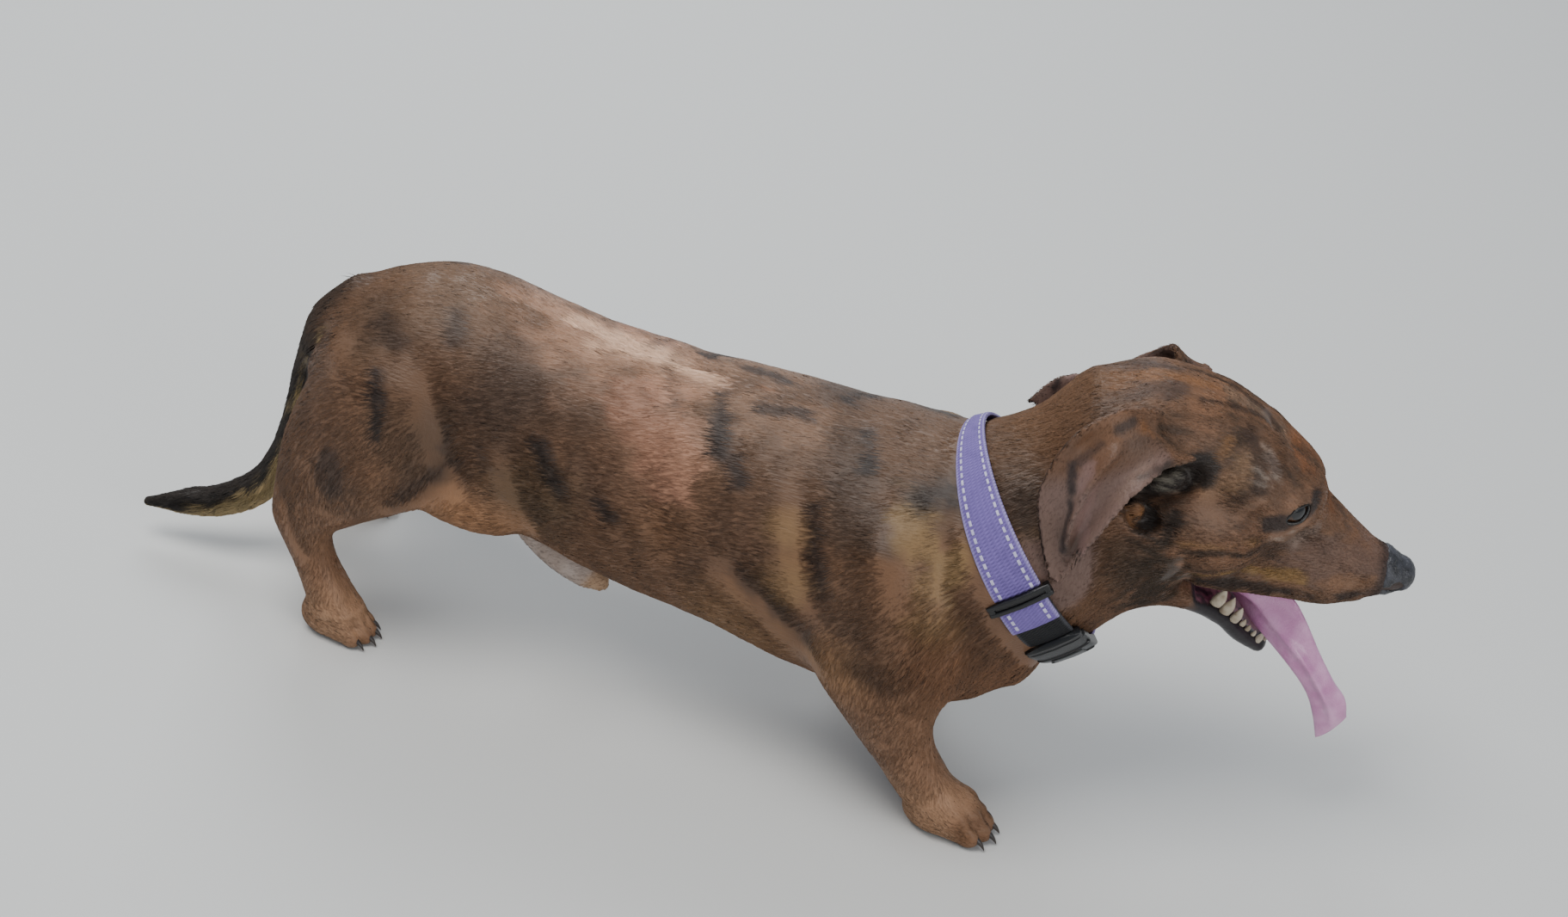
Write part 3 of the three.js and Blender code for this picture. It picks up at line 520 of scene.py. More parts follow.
def fill_head(field):
    """Skull, jaw, neck, brows, lids and ears melted together, less mouth, ear openings and eyes."""
    skull = field.of(moved(loft(head_stations(), 120, 72, (16, 8), -LIMB_DEPTH), from_head))
    jaw = field.of(moved(loft(JAW, 70, 56, (8, 6), -SLIGHT_DEPTH), from_head))
    whole = melt(skull, jaw, 7.0)
    for side in (-1, 1):
        brow = (9.5, 9, 9) if side > 0 else (9, 8, 8)
        whole = melt(whole, field.ball(from_head((68, side * 20, 18)), brow, HEAD_AXES), 6.0)
        whole = melt(whole, field.ball(from_head((36, side * 34, -16)), (26, 12, 17), HEAD_AXES), 14.0)
        whole = melt(whole, field.ball(from_head((100, side * 17, -24)), (28, 8, 11), HEAD_AXES), 10.0)
        flew = sheet(on_side(LIP_ROOT, side), on_side(LIP_EDGE, side), side * 1.5, 5.6, 60, 24, 0.95)
        whole = melt(whole, field.of(moved(flew, from_head)), 5.0)
    back = melt(field.of(TORSO_FORM), field.of(NECK_FORM), 7.0)
    whole = melt(whole, back, 20.0)
    for side in (-1, 1):
        lid = field.ball(eye_centre(side), (EYE_RADIUS + 1.6,) * 3)
        whole = melt(whole, lid, 4.0)
    roof = field.of(moved(loft(MOUTH_ROOF, 40, 40, (4, 4)), from_head))
    floor = field.of(moved(loft(JAW_FLOOR, 30, 30, (4, 3)), from_head))
    mouth_room.values = np.minimum(roof, floor)
    whole = carve(whole, roof, 3.0)
    whole = carve(whole, floor, 3.0)
    for side in (-1, 1):
        slant = HEAD_AXES @ turned(0, -48, 0)
        whole = carve(whole, field.ball(from_head((-5, side * 43, 5)), (27, 16, 12.5), slant), 2.5)
        whole = carve(whole, field.ball(from_head((-3, side * 43, -14)), (9.5, 6, 7), HEAD_AXES), 4.0)
        whole = melt(whole, field.ball(from_head((0, side * 30.5, 5)), (11, 5, 6.5), slant), 2.0)
        whole = melt(whole, field.ball(from_head((-7, side * 37.5, -15)), (4, 3.5, 6), slant), 1.5)
    for side, bow, front, rear in EARS.values():
        flap = sheet(on_side(front, side), on_side(rear, side), side * bow, 4.4, dent=ear_folds(side))
        whole = melt(whole, field.of(moved(flap, from_head)), 4.0)
    for side in (-1, 1):
        axes = eye_axes(side)
        eye = eye_centre(side)
        slit = eye + axes[:, 1] * (EYE_RADIUS + 1)
        whole = carve(whole, field.ball(eye, (EYE_RADIUS + 0.1,) * 3), 0.6)
        whole = carve(whole, field.ball(slit, (7.9, 6.5, 5.1), axes), 1.0)
    field.values = whole


def eye_axes(side):
    """Columns: towards the inner corner, outwards, and across the slit, in the dog's frame."""
    out = unit(np.array([0.36, side * 0.86, 0.36]))
    inward = np.array([0.52, -side * 0.56, 0.64])
    inward = unit(inward - out * (inward @ out))
    tall = np.cross(out, inward)
    return HEAD_AXES @ np.stack([inward, out, tall], -1)


# Making objects
def make(name, points, faces, replaces=()):
    """A smooth object over points in millimetres, its faces given as arrays of equal-sided rows."""
    faces = [f for f in faces if len(f)]
    mesh = bpy.data.meshes.new(name)
    place = (np.asarray(points, float) + (ORIGIN_X, 0, 0)) * MM
    mesh.vertices.add(len(place))
    mesh.vertices.foreach_set("co", place.astype(np.float32).ravel())
    loops = np.concatenate([f.ravel() for f in faces]).astype(np.int32)
    sizes = np.concatenate([np.full(len(f), f.shape[1]) for f in faces])
    mesh.loops.add(len(loops))
    mesh.loops.foreach_set("vertex_index", loops)
    mesh.polygons.add(len(sizes))
    starts = np.concatenate([[0], np.cumsum(sizes)[:-1]]).astype(np.int32)
    mesh.polygons.foreach_set("loop_start", starts)
    mesh.polygons.foreach_set("use_smooth", np.ones(len(sizes), bool))
    mesh.update(calc_edges=True)
    mesh.validate()
    piece = bpy.data.objects.new(name, mesh)
    bpy.context.scene.collection.objects.link(piece)
    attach(piece, "root")
    if replaces:
        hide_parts(*replaces)
    return piece


def store(piece, name, values):
    """One number for each point of a piece, which its material reads by name."""
    layer = piece.data.attributes.new(name, "FLOAT", "POINT")
    layer.data.foreach_set("value", np.asarray(values, np.float32))


def half_mesh(points, quads, keep):
    """The part of a mesh ahead of the collar's plane (keep 1) or behind it (keep -1), with a clean edge."""
    d = (points - COLLAR_AT) @ COLLAR_AHEAD * keep
    quads = quads[(d > -8)[quads].all(1)]
    used, back = np.unique(quads, return_inverse=True)
    mesh = bmesh.new()
    verts = [mesh.verts.new(p) for p in points[used].tolist()]
    for row in back.reshape(-1, 4).tolist():
        mesh.faces.new([verts[i] for i in row])
    where = COLLAR_AT + COLLAR_AHEAD * keep * 1.2
    bmesh.ops.bisect_plane(
        mesh, geom=mesh.verts[:] + mesh.edges[:] + mesh.faces[:], plane_co=where,
        plane_no=COLLAR_AHEAD * keep, clear_inner=True,
    )
    return mesh


def joined_skin(body, head):
    """Body behind the collar and head ahead of it, bridged under the band, as one mesh to edit."""
    whole = half_mesh(*body, -1)
    front = half_mesh(*head, 1)
    spare = bpy.data.meshes.new("spare")
    front.to_mesh(spare)
    front.free()
    whole.from_mesh(spare)
    bpy.data.meshes.remove(spare)
    edges = [e for e in whole.edges if e.is_boundary]
    bmesh.ops.bridge_loops(whole, edges=edges)
    return whole


body_field = Field(*BODY_BOX, BODY_CELL)
fill_body(body_field)
head_field = Field(*HEAD_BOX, HEAD_CELL)
mouth_room = Field(*HEAD_BOX, HEAD_CELL)
fill_head(head_field)


# Height up to which the skin of the paws is made finer, and from which it eases into the coarser skin
PAW_TOP = 45
PAW_EASE = 39


def refine_paws(mesh):
    """Faces below 44 mm, but not the tail's, are cut in four and drawn to a finer field of each paw."""
    low = [e for e in mesh.edges if max(v.co.z for v in e.verts) < 44 and e.verts[0].co.x > -330]
    low = [e for e in low if abs(e.verts[0].co.y) > 30]
    bmesh.ops.subdivide_edges(mesh, edges=low, cuts=1, use_grid_fill=True)
    points = np.array([v.co[:] for v in mesh.verts])
    for name, (*_, (x, y, _), _, _) in LEGS.items():
        fine = Field((x - 42, y - 28, -3), (x + 44, y + 28, 54), PAW_CELL)
        add_leg(fine, name, 5)
        fine.values = np.maximum(fine.values, FLOOR_GAP - fine.z)
        inside = (points[:, 2] < PAW_TOP) & (np.abs(points[:, 0] - x) < 40) & (np.abs(points[:, 1] - y) < 26)
        drawn = fine.drawn_in(points[inside], 4)
        share = ease(PAW_TOP, PAW_EASE, points[inside, 2])[:, None]
        points[inside] = points[inside] * (1 - share) + drawn * share
    points[:, 2] = np.maximum(points[:, 2], FLOOR_GAP)
    return points


whole = joined_skin(body_field.surface(), head_field.surface())
skin_points = refine_paws(whole)
bmesh.ops.triangulate(whole, faces=[f for f in whole.faces if len(f.verts) > 4])
whole.verts.index_update()
skin_quads = np.array([[v.index for v in f.verts] for f in whole.faces if len(f.verts) == 4])
skin_tris = np.array([[v.index for v in f.verts] for f in whole.faces if len(f.verts) == 3])
whole.free()


def all_triangles(quads, tris):
    """Every quad split in two, and the triangles."""
    return np.concatenate([quads[:, [0, 1, 2]], quads[:, [0, 2, 3]], tris])


def point_normals(points, faces):
    """Sum of the face normals round each point, weighted by area."""
    a, b, c = (points[faces[:, i]] for i in range(3))
    n = np.cross(b - a, c - a)
    total = np.stack([
        np.bincount(faces.ravel(), np.repeat(n[:, i], 3), len(points)) for i in range(3)
    ], -1)
    return unit(total)


# Noise, paths and regions of the body
LATTICE = (374761393, 668265263, 1274126177)
SEED_STEP = 104729
SCRAMBLE = 1103515245
HALF_RANGE = 32767.5


def noise(p, size, seed=0):
    """Value noise from -1 to 1: a scrambled whole number at each lattice point, eased between them."""
    q = np.asarray(p, float) / np.asarray(size, float)
    i = np.floor(q).astype(np.int64)
    f = q - i
    f = f * f * (3 - 2 * f)
    total = 0.0
    for corner in range(8):
        o = np.array([corner & 1, corner >> 1 & 1, corner >> 2 & 1])
        h = (i[..., 0] + o[0]) * LATTICE[0] + (i[..., 1] + o[1]) * LATTICE[1]
        h = h + (i[..., 2] + o[2]) * LATTICE[2] + seed * SEED_STEP
        h = (h ^ (h >> 13)) * SCRAMBLE & 0x7FFFFFFF
        h = (h ^ (h >> 16)) & 0xFFFF
        w = np.prod(np.where(o, f, 1 - f), axis=-1)
        total = total + w * (h / HALF_RANGE - 1)
    return total


def path_distance(p, path):
    """Least distance from each point to a line of points."""
    path = np.asarray(path, float)
    best = np.full(len(p), 1e9)
    for a, b in zip(path[:-1], path[1:]):
        t = np.clip(((p - a) @ (b - a)) / max(1e-9, (b - a) @ (b - a)), 0, 1)
        best = np.minimum(best, np.linalg.norm(p - a - t[:, None] * (b - a), axis=1))
    return best


TAIL_STEPS = 60
TAIL_PATH = spline(TAIL, np.linspace(0, len(TAIL) - 1, TAIL_STEPS))[:, :3]


def tail_step(place):
    """Number of the path's point at each place from 0 to 1 along the tail."""
    return np.clip((place * (TAIL_STEPS - 1)).astype(int), 0, TAIL_STEPS - 1)


def tail_place(p):
    """Station from 0 to 1 along the tail's path nearest to each point, and the distance to it."""
    best = np.full(len(p), 1e9)
    place = np.zeros(len(p))
    close = p[:, 0] < -236
    for i, at in enumerate(TAIL_PATH):
        d = np.linalg.norm(p[close] - at, axis=1)
        nearer = d < best[close]
        best[close] = np.where(nearer, d, best[close])
        place[close] = np.where(nearer, i / (TAIL_STEPS - 1), place[close])
    return place, best


def leg_place(p, name):
    """Scaled distance from a leg's middle line, 1 on its own section, and the angle round it."""
    table, side, reach, start = LEGS[name][:4]
    rows = np.array(leg_stations(table, side, reach, start))[::-1]
    k = np.clip(p[:, 2], rows[0, 2], rows[-1, 2])
    read = np.stack([np.interp(k, rows[:, 2], rows[:, i]) for i in (0, 1, 3, 4)], -1)
    dx = (p[:, 0] - read[:, 0]) / read[:, 3]
    dy = (p[:, 1] - read[:, 1]) / read[:, 2]
    return np.hypot(dx, dy), np.arctan2(dy, dx)


def regions(p):
    """Shares of head, ear, neck, each leg, paw and tail at each point, from 0 to 1."""
    q = to_head(p)
    s = (p - COLLAR_AT) @ COLLAR_AHEAD
    share = {"ahead": ease(-6, 6, s), "head": ease(-54, -10, q[:, 0] + 0.5 * (q[:, 2] - 10)) * (s > 0)}
    outer = ease(39, 45, np.abs(q[:, 1]) + 0.1 * (q[:, 2] - 20))
    for key, (side, _, front, rear) in EARS.items():
        middle = on_side((np.array(front) + np.array(rear)) / 2, side)
        flap = ease(27, 19, path_distance(q, middle[1:]))
        share["ear_" + key] = flap * outer * (q[:, 1] * side > 0) * (s > 4)
    for name in LEGS:
        ratio, _ = leg_place(p, name)
        side = LEGS[name][1]
        low = ease(120, 85, p[:, 2])
        share[name] = ease(1.6, 1.08, ratio) * ease(176, 150, p[:, 2]) * (p[:, 1] * side > 8)
        share[name] = share[name] * np.maximum(low, ease(20, 40, np.abs(p[:, 1])))
    place, far = tail_place(p)
    share["tail"] = ease(22, 16, far) * ease(0.02, 0.12, place)
    share["paw"] = ease(34, 20, p[:, 2]) * (p[:, 0] > -320)
    return q, s, share, place


def coat_flow(p, n, q, s, share, place):
    """Way the hair lies: back on head, neck and trunk, down legs and ears, along the tail, ahead on paws."""
    low = ease(150, 70, p[:, 2])
    trunk = np.stack([-np.ones(len(p)), 0.12 * np.sign(p[:, 1]), -0.18 - 0.55 * low], -1)
    trunk[:, 2] -= 0.5 * ease(60, 120, p[:, 0]) * ease(0.2, 0.7, np.abs(n[:, 1]) + n[:, 0])
    neck = np.stack([-0.75 * np.ones(len(p)), 0 * s, -0.55 * np.ones(len(p))], -1)
    neck[:, 2] -= 0.6 * ease(0.0, 0.8, -n[:, 2] + n[:, 0])
    apart = 0.28 * np.sign(q[:, 1]) * ease(2, 20, np.abs(q[:, 1]))
    over = np.stack([-np.ones(len(p)), apart, -0.12 - 0.5 * ease(10, -40, q[:, 2])], -1)
    over[:, 2] += 0.5 * ease(90, 60, q[:, 0]) * ease(30, 60, q[:, 0]) * ease(0, 20, q[:, 2])
    flow = mix(trunk, neck, share["ahead"])
    flow = mix(flow, over @ HEAD_AXES.T, share["head"])
    for key, sign in (("ear_right", -1), ("ear_left", 1)):
        flow = mix(flow, np.array([-0.45, 0.25 * sign, -1.0]) @ HEAD_AXES.T, share[key])
    down = np.stack([-0.3 + 0 * s, 0 * s, -np.ones(len(p))], -1)
    down[:, 0] -= 0.6 * ease(90, 150, p[:, 2])
    for name in LEGS:
        flow = mix(flow, down, share[name])
    along = np.gradient(TAIL_PATH, axis=0)[tail_step(place)]
    flow = mix(flow, unit(along), share["tail"])
    flow = unit(mix(flow, np.array([1, 0, -0.35]), share["paw"]))
    turn = 0.22 * noise(p, 26, 3) + 0.14 * noise(p, 9, 4)
    flow = flow - n * (flow * n).sum(-1, keepdims=True)
    flow = unit(flow)
    return unit(flow + np.cross(n, flow) * turn[:, None])


# Colours
def shade(text):
    """An sRGB colour written as six hex digits, as linear values."""
    c = np.array([int(text[i:i + 2], 16) for i in (0, 2, 4)]) / 255
    return np.where(c <= 0.04045, c / 12.92, ((c + 0.055) / 1.055) ** 2.4)


BROWN = shade("5b4438")
RUST = shade("76553f")
ORANGE = shade("8a6347")
UMBER = shade("403129")
BLACK = shade("211d1f")
GREY = shade("8d8482")
MAUVE = shade("6b5653")
LIP = shade("211c1f")
GUM = shade("8a5a66")
# Factors of red, green and blue for the whole painted coat, set against the photo
BALANCE = np.array([1.10, 1.07, 0.92])


# Dark bars and smudges on back and flank, and painted shade along the flank fold: path, half width and
# strength
DARK_MARKS_AND_FOLD_SHADE = [
    ([(-214, -55, 181), (-208, -64, 169), (-207, -69, 150)], 4.5, 0.85),
    ([(-233, -72, 131), (-230, -74, 114)], 8, 0.7),
    ([(-222, -36, 198), (-208, -43, 196)], 9, 0.5),
    ([(-182, -25, 212), (-178, -37, 204)], 6, 0.6),
    ([(-119, -55, 165), (-111, -57, 155), (-102, -59, 142)], 6, 0.8),
    ([(-151, -58, 151), (-145, -58, 141)], 5, 0.55),
    ([(-32, -19, 204), (-25, -33, 198), (-21, -44, 190)], 7, 0.85),
    ([(-12, -46, 188), (-7, -53, 181)], 6, 0.8),
    ([(-63, -8, 206), (-50, -34, 196)], 3, 0.5),
    ([(-10, -16, 205), (13, -12, 205)], 6, 0.75),
    ([(49, -11, 206), (50, -15, 205)], 6, 0.85),
    ([(54, -27, 202), (58, -33, 199)], 6, 0.85),
    ([(-80, -60, 145), (-73, -61, 137)], 5, 0.75),
    ([(36, -56, 181), (43, -67, 163), (52, -74, 143)], 4.5, 0.7),
    ([(4, -69, 133), (22, -71, 124), (44, -72, 106)], 8, 0.5),
    ([(88, -42, 196), (98, -36, 199)], 10, 0.7),
    # Painted shade along the fold in front of the thigh
    ([(-172, -59, 161), (-165, -58, 140), (-175, -64, 130), (-186, -70, 124), (-196, -71, 107)], 6, 0.5),
]

# Soft patches: centre, reach, colour and strength
PATCHES = [
    ((-139, -46, 190), 32, "43352f", 0.75), ((-222, -36, 196), 24, "463932", 0.5),
    ((-190, -10, 217), 34, "6f5a4e", 0.5), ((-190, -62, 150), 30, "4c3b30", 0.5),
    ((-120, -55, 130), 34, "55432f", 0.6), ((-60, -54, 172), 30, "7d5f50", 0.5),
    ((24, -60, 165), 15, "866a4e", 0.75), ((30, -72, 138), 18, "806549", 0.7),
    ((112, -66, 140), 16, "75593c", 0.6), ((73, -76, 130), 34, "634a3b", 0.5),
    ((120, -73, 118), 26, "7a5640", 0.55), ((142, -50, 100), 30, "75523d", 0.5),
    ((96, -40, 197), 24, "41352f", 0.7), ((140, -36, 208), 24, "473a34", 0.7),
    ((100, 0, 207), 40, "5e4a3f", 0.5), ((152, -46, 184), 15, "7a6648", 0.8),
    ((162, -46, 166), 16, "766249", 0.8), ((-166, -46, 100), 30, "a3795c", 0.85),
    ((-132, -50, 104), 20, "8f6a50", 0.7), ((0, -62, 84), 38, "86664a", 0.7),
    ((64, -78, 98), 24, "8f6b4c", 0.7),
]

# Strokes of colour on the body, a painted highlight along the back and over the ribs, and painted shade along
# the flank fold: path, half width, colour and strength
BODY_STROKES_SHADE_AND_SHEEN = [
    # Painted highlight: the pale pinkish sheen along the top of the back and over the ribs
    ([(-122, -6, 208), (-96, -3, 206), (-60, 0, 205)], 34, "8b6a5a", 0.55),
    ([(-118, -6, 208), (-100, -3, 206), (-75, 0, 206), (-50, 4, 205)], 20, "a27e6c", 0.6),
    ([(-96, -2, 207), (-72, 2, 206), (-50, 5, 205)], 13, "d5b09d", 0.7),
    ([(-77, -30, 198), (-61, -41, 188), (-45, -54, 173)], 16, "a07564", 0.6),
    ([(-60, -18, 201), (-46, -34, 195), (-34, -50, 181)], 9, "a87f6d", 0.5),
    ([(-14, -20, 203), (22, -22, 203)], 18, "8a6d5e", 0.5),
    ([(-36, 8, 205), (-12, 9, 205), (12, 10, 206), (60, 12, 206)], 8, "80553a", 0.7),
    ([(40, -20, 203), (52, -41, 194), (66, -60, 178)], 19, "43352e", 0.75),
    ([(85, -50, 189), (98, -59, 178), (112, -62, 164), (112, -54, 178)], 12, "7d6547", 0.75),
    ([(98, -64, 160), (106, -68, 144)], 10, "7b6045", 0.7),
    # Painted shade along the flank fold in front of the thigh
    ([(-178, -60, 160), (-176, -62, 142)], 16, "4e3c31", 0.6),
    ([(-200, -70, 108), (-228, -70, 100)], 14, "6b4f3c", 0.5),
]

# Strokes on both sides of the head, some of them painted shade in a valley, a fold and under the ear, given
# for the right side in the head's frame
HEAD_STROKES_AND_SHADE = [
    ([(97, -23, -10), (115, -18, -4), (134, -12, 0)], 17, "675049", 0.75),
    ([(-54, -3, 5), (-42, -6, 27), (-25, 0, 41), (-2, 4, 47), (18, 5, 48)], 7, "7f593e", 0.7),
    # Painted shade in the valley between the ear's root and the crown
    ([(-51, -20, 3), (-45, -15, 22), (-33, -10, 35), (-16, -8, 43)], 6, "493b38", 0.75),
    ([(16, 0, 48), (34, 2, 46), (52, 0, 38)], 7, "66574f", 0.6),
    # Painted shade in the forehead's fold
    ([(-3, -11, 44), (17, -8, 47), (35, -4, 46), (49, -2, 39)], 2.4, "30241f", 0.75),
    ([(62, -8, 36), (78, -8, 24), (96, -6, 16)], 7, "7d5238", 0.6),
    ([(12, -36, 22), (14, -31, 32), (16, -26, 38)], 4, "7d5a3c", 0.6),
    ([(19, -39, 15), (28, -35, 26), (29, -30, 33)], 8, "80634c", 0.6),
    ([(21, -41, 6), (36, -39, 6), (27, -45, -5)], 10, "705445", 0.6),
    ([(23, -16, 45), (35, -28, 35), (43, -33, 24)], 4.2, "3b2c26", 0.8),
    ([(41, -22, 39), (48, -27, 33)], 4, "6c5f5d", 0.6),
    ([(44, -36, 2), (58, -33, -2), (76, -28, -8)], 6, "41312a", 0.7),
    ([(83, -24, 2), (88, -22, 8)], 5, "82706b", 0.5),
    ([(22, -46, -16), (41, -44, -8), (58, -38, -2)], 3, "8a6848", 0.6),
    ([(22, -48, -22), (41, -46, -13), (60, -39, -8)], 2.6, "33261f", 0.8),
    ([(44, -34, -42), (57, -38, -27), (85, -27, -24), (100, -24, -21)], 5, "80633e", 0.85),
    ([(119, -20, -17), (139, -14, -12)], 5, "7b5a44", 0.6),
    # Painted shadow of the ear on the cheek and neck below it
    ([(-8, -50, -45), (12, -46, -38), (32, -36, -52)], 21, "31261d", 0.9),
    # Painted shade round the ear opening
    ([(-12, -44, -8), (-2, -44, -20), (9, -44, -14), (12, -42, -2)], 6, "2b211c", 0.9),
    (
        [(55, -30, -43), (77, -27, -37), (101, -24, -31), (120, -20, -27), (142, -15, -19)],
        3.6, "2a201e", 0.85,
    ),
]

# Strokes on the ears, given likewise: colour, painted shade in the crease and folds, and painted highlight on
# the ridges beside the crease
EAR_STROKES_SHADE_AND_SHEEN = [
    ([(-56, -49, 20), (-50, -46, 35), (-32, -34, 39)], 9, "694b39", 0.85),
    ([(-34, -40, 36), (-21, -34, 33), (-11, -37, 28)], 5, "8c5d38", 0.8),
    # Painted highlight on the ridges beside the crease
    ([(-50, -55, 8), (-39, -60, -16), (-31, -66, -31)], 5, "806769", 0.6),
    ([(-26, -52, 19), (-31, -60, 4), (-20, -54, -36)], 4, "76605a", 0.6),
    # Painted shade in the crease, in the fold under the brown top and at the ear's root
    ([(-58, -53, 4), (-45, -60, -20), (-35, -60, -42)], 2.6, "2b2224", 0.9),
    ([(-52, -52, 22), (-56, -53, 8)], 3, "372a28", 0.7),
    ([(-48, -48, 31), (-42, -44, 37)], 3.4, "2a2120", 0.8),
    ([(-25, -55, 15), (-12, -47, 24), (1, -36, 29)], 3.2, "2a211f", 0.85),
]


def stroked(colour, p, strokes, wobble):
    """Each stroke laid over the colour, its edge ragged by wobble times its half width."""
    for path, width, text, strength in strokes:
        d = path_distance(p, path) + width * wobble
        colour = mix(colour, shade(text), strength * ease(width * 1.3, width * 0.4, d))
    return colour


# How far along the body the left side's markings are moved from the right side's
LEFT_SHIFT = 19


def markings_shade_and_sheen(p, n, q, share, place):
    """Colour of the coat at each point: browns by slow noise, then bars, patches and each region's own, with
    a painted highlight along the back and painted shade in folds and hollows.
    """
    mirrored = on_side(p, -1) + np.array([LEFT_SHIFT, 0, 0])
    sided = np.where((p[:, 1] > 0)[:, None], mirrored, p)
    slow = noise(p, 46, 11) * 0.6 + noise(p, 21, 12) * 0.4
    fine = noise(p, (5, 5, 9), 13)
    colour = mix(np.tile(BROWN, (len(p), 1)), RUST, np.clip(0.42 + 0.5 * slow + 0.12 * fine, 0, 1))
    low = ease(125, 70, p[:, 2] + 8 * slow)
    colour = mix(colour, ORANGE, 0.35 * low)
    colour = mix(colour, shade("4d3f36"), 0.35 * ease(0.2, 0.9, n[:, 2]) * (1 - share["head"]))
    for centre, reach, text, strength in PATCHES:
        d = np.linalg.norm(sided - centre, axis=1) + 0.25 * reach * noise(p, reach * 0.5, 21)
        colour = mix(colour, shade(text), strength * ease(reach * 1.25, reach * 0.25, d))
    colour = stroked(colour, sided, BODY_STROKES_SHADE_AND_SHEEN, 0.6 * noise(p, 9, 22) + 0.3 * noise(p, (4, 4, 9), 23))
    bars = noise(p, (11, 60, 42), 31) + 0.35 * noise(p, (4, 14, 12), 32)
    colour = mix(colour, UMBER, 0.28 * ease(0.42, 0.85, bars) * (1 - share["head"]))
    ragged = noise(p, (3.5, 3.5, 7), 33)
    for path, width, strength in DARK_MARKS_AND_FOLD_SHADE:
        d = path_distance(sided, path) + width * (0.55 * ragged + 0.35 * noise(p, 9, 34))
        colour = mix(colour, BLACK, strength * ease(width * 1.25, width * 0.35, d))
    legs = np.clip(sum(share[name] for name in LEGS) * ease(115, 60, p[:, 2]), 0, 1)
    colour = mix(colour, shade("7c5d4b"), 0.75 * legs)
    colour = mix(colour, shade("a07d66"), 0.7 * legs * ease(48, 18, p[:, 2]))
    colour = mix(colour, shade("a5816a"), 0.45 * legs * ease(0.3, -0.6, slow + fine) * ease(60, 20, p[:, 2]))
    hang = ease(70, 35, p[:, 2])
    streak = 0.5 * noise(p, (3, 3, 9), 41) * (1 - hang) + 0.5 * noise(p, (9, 3, 3), 42) * hang
    upper = ease(0.0, 0.6, -n[:, 0] * (1 - 0.6 * hang) + n[:, 2] * (0.2 + 0.8 * hang) + streak)
    upper = np.maximum(upper, ease(-325, -345, p[:, 0]) * ease(-0.7, -0.2, n[:, 2]))
    tail_colour = mix(np.tile(shade("b09a76"), (len(p), 1)), shade("2a2524"), upper)
    colour = mix(colour, tail_colour, share["tail"] * ease(0.0, 0.2, place))
    rump = path_distance(p, [(-262, -2, 192), (-276, -6, 150)])
    colour = mix(colour, shade("2f2622"), 0.8 * ease(22, 8, rump))
    pale = ease(16, 8, path_distance(p, [(-144, 0, 66), (-108, 0, 48)]) - 6) * ease(80, 68, p[:, 2])
    colour = mix(colour, shade("b4a7a8"), pale * (0.8 + 0.2 * fine))
    end = path_distance(p, [(-98, 0, 45), (-93, 0, 43)])
    colour = mix(colour, shade("a8866a"), 0.8 * ease(9, 5, end - 3))
    colour = head_markings_shade_and_sheen(colour, n, q, share)
    return colour * BALANCE


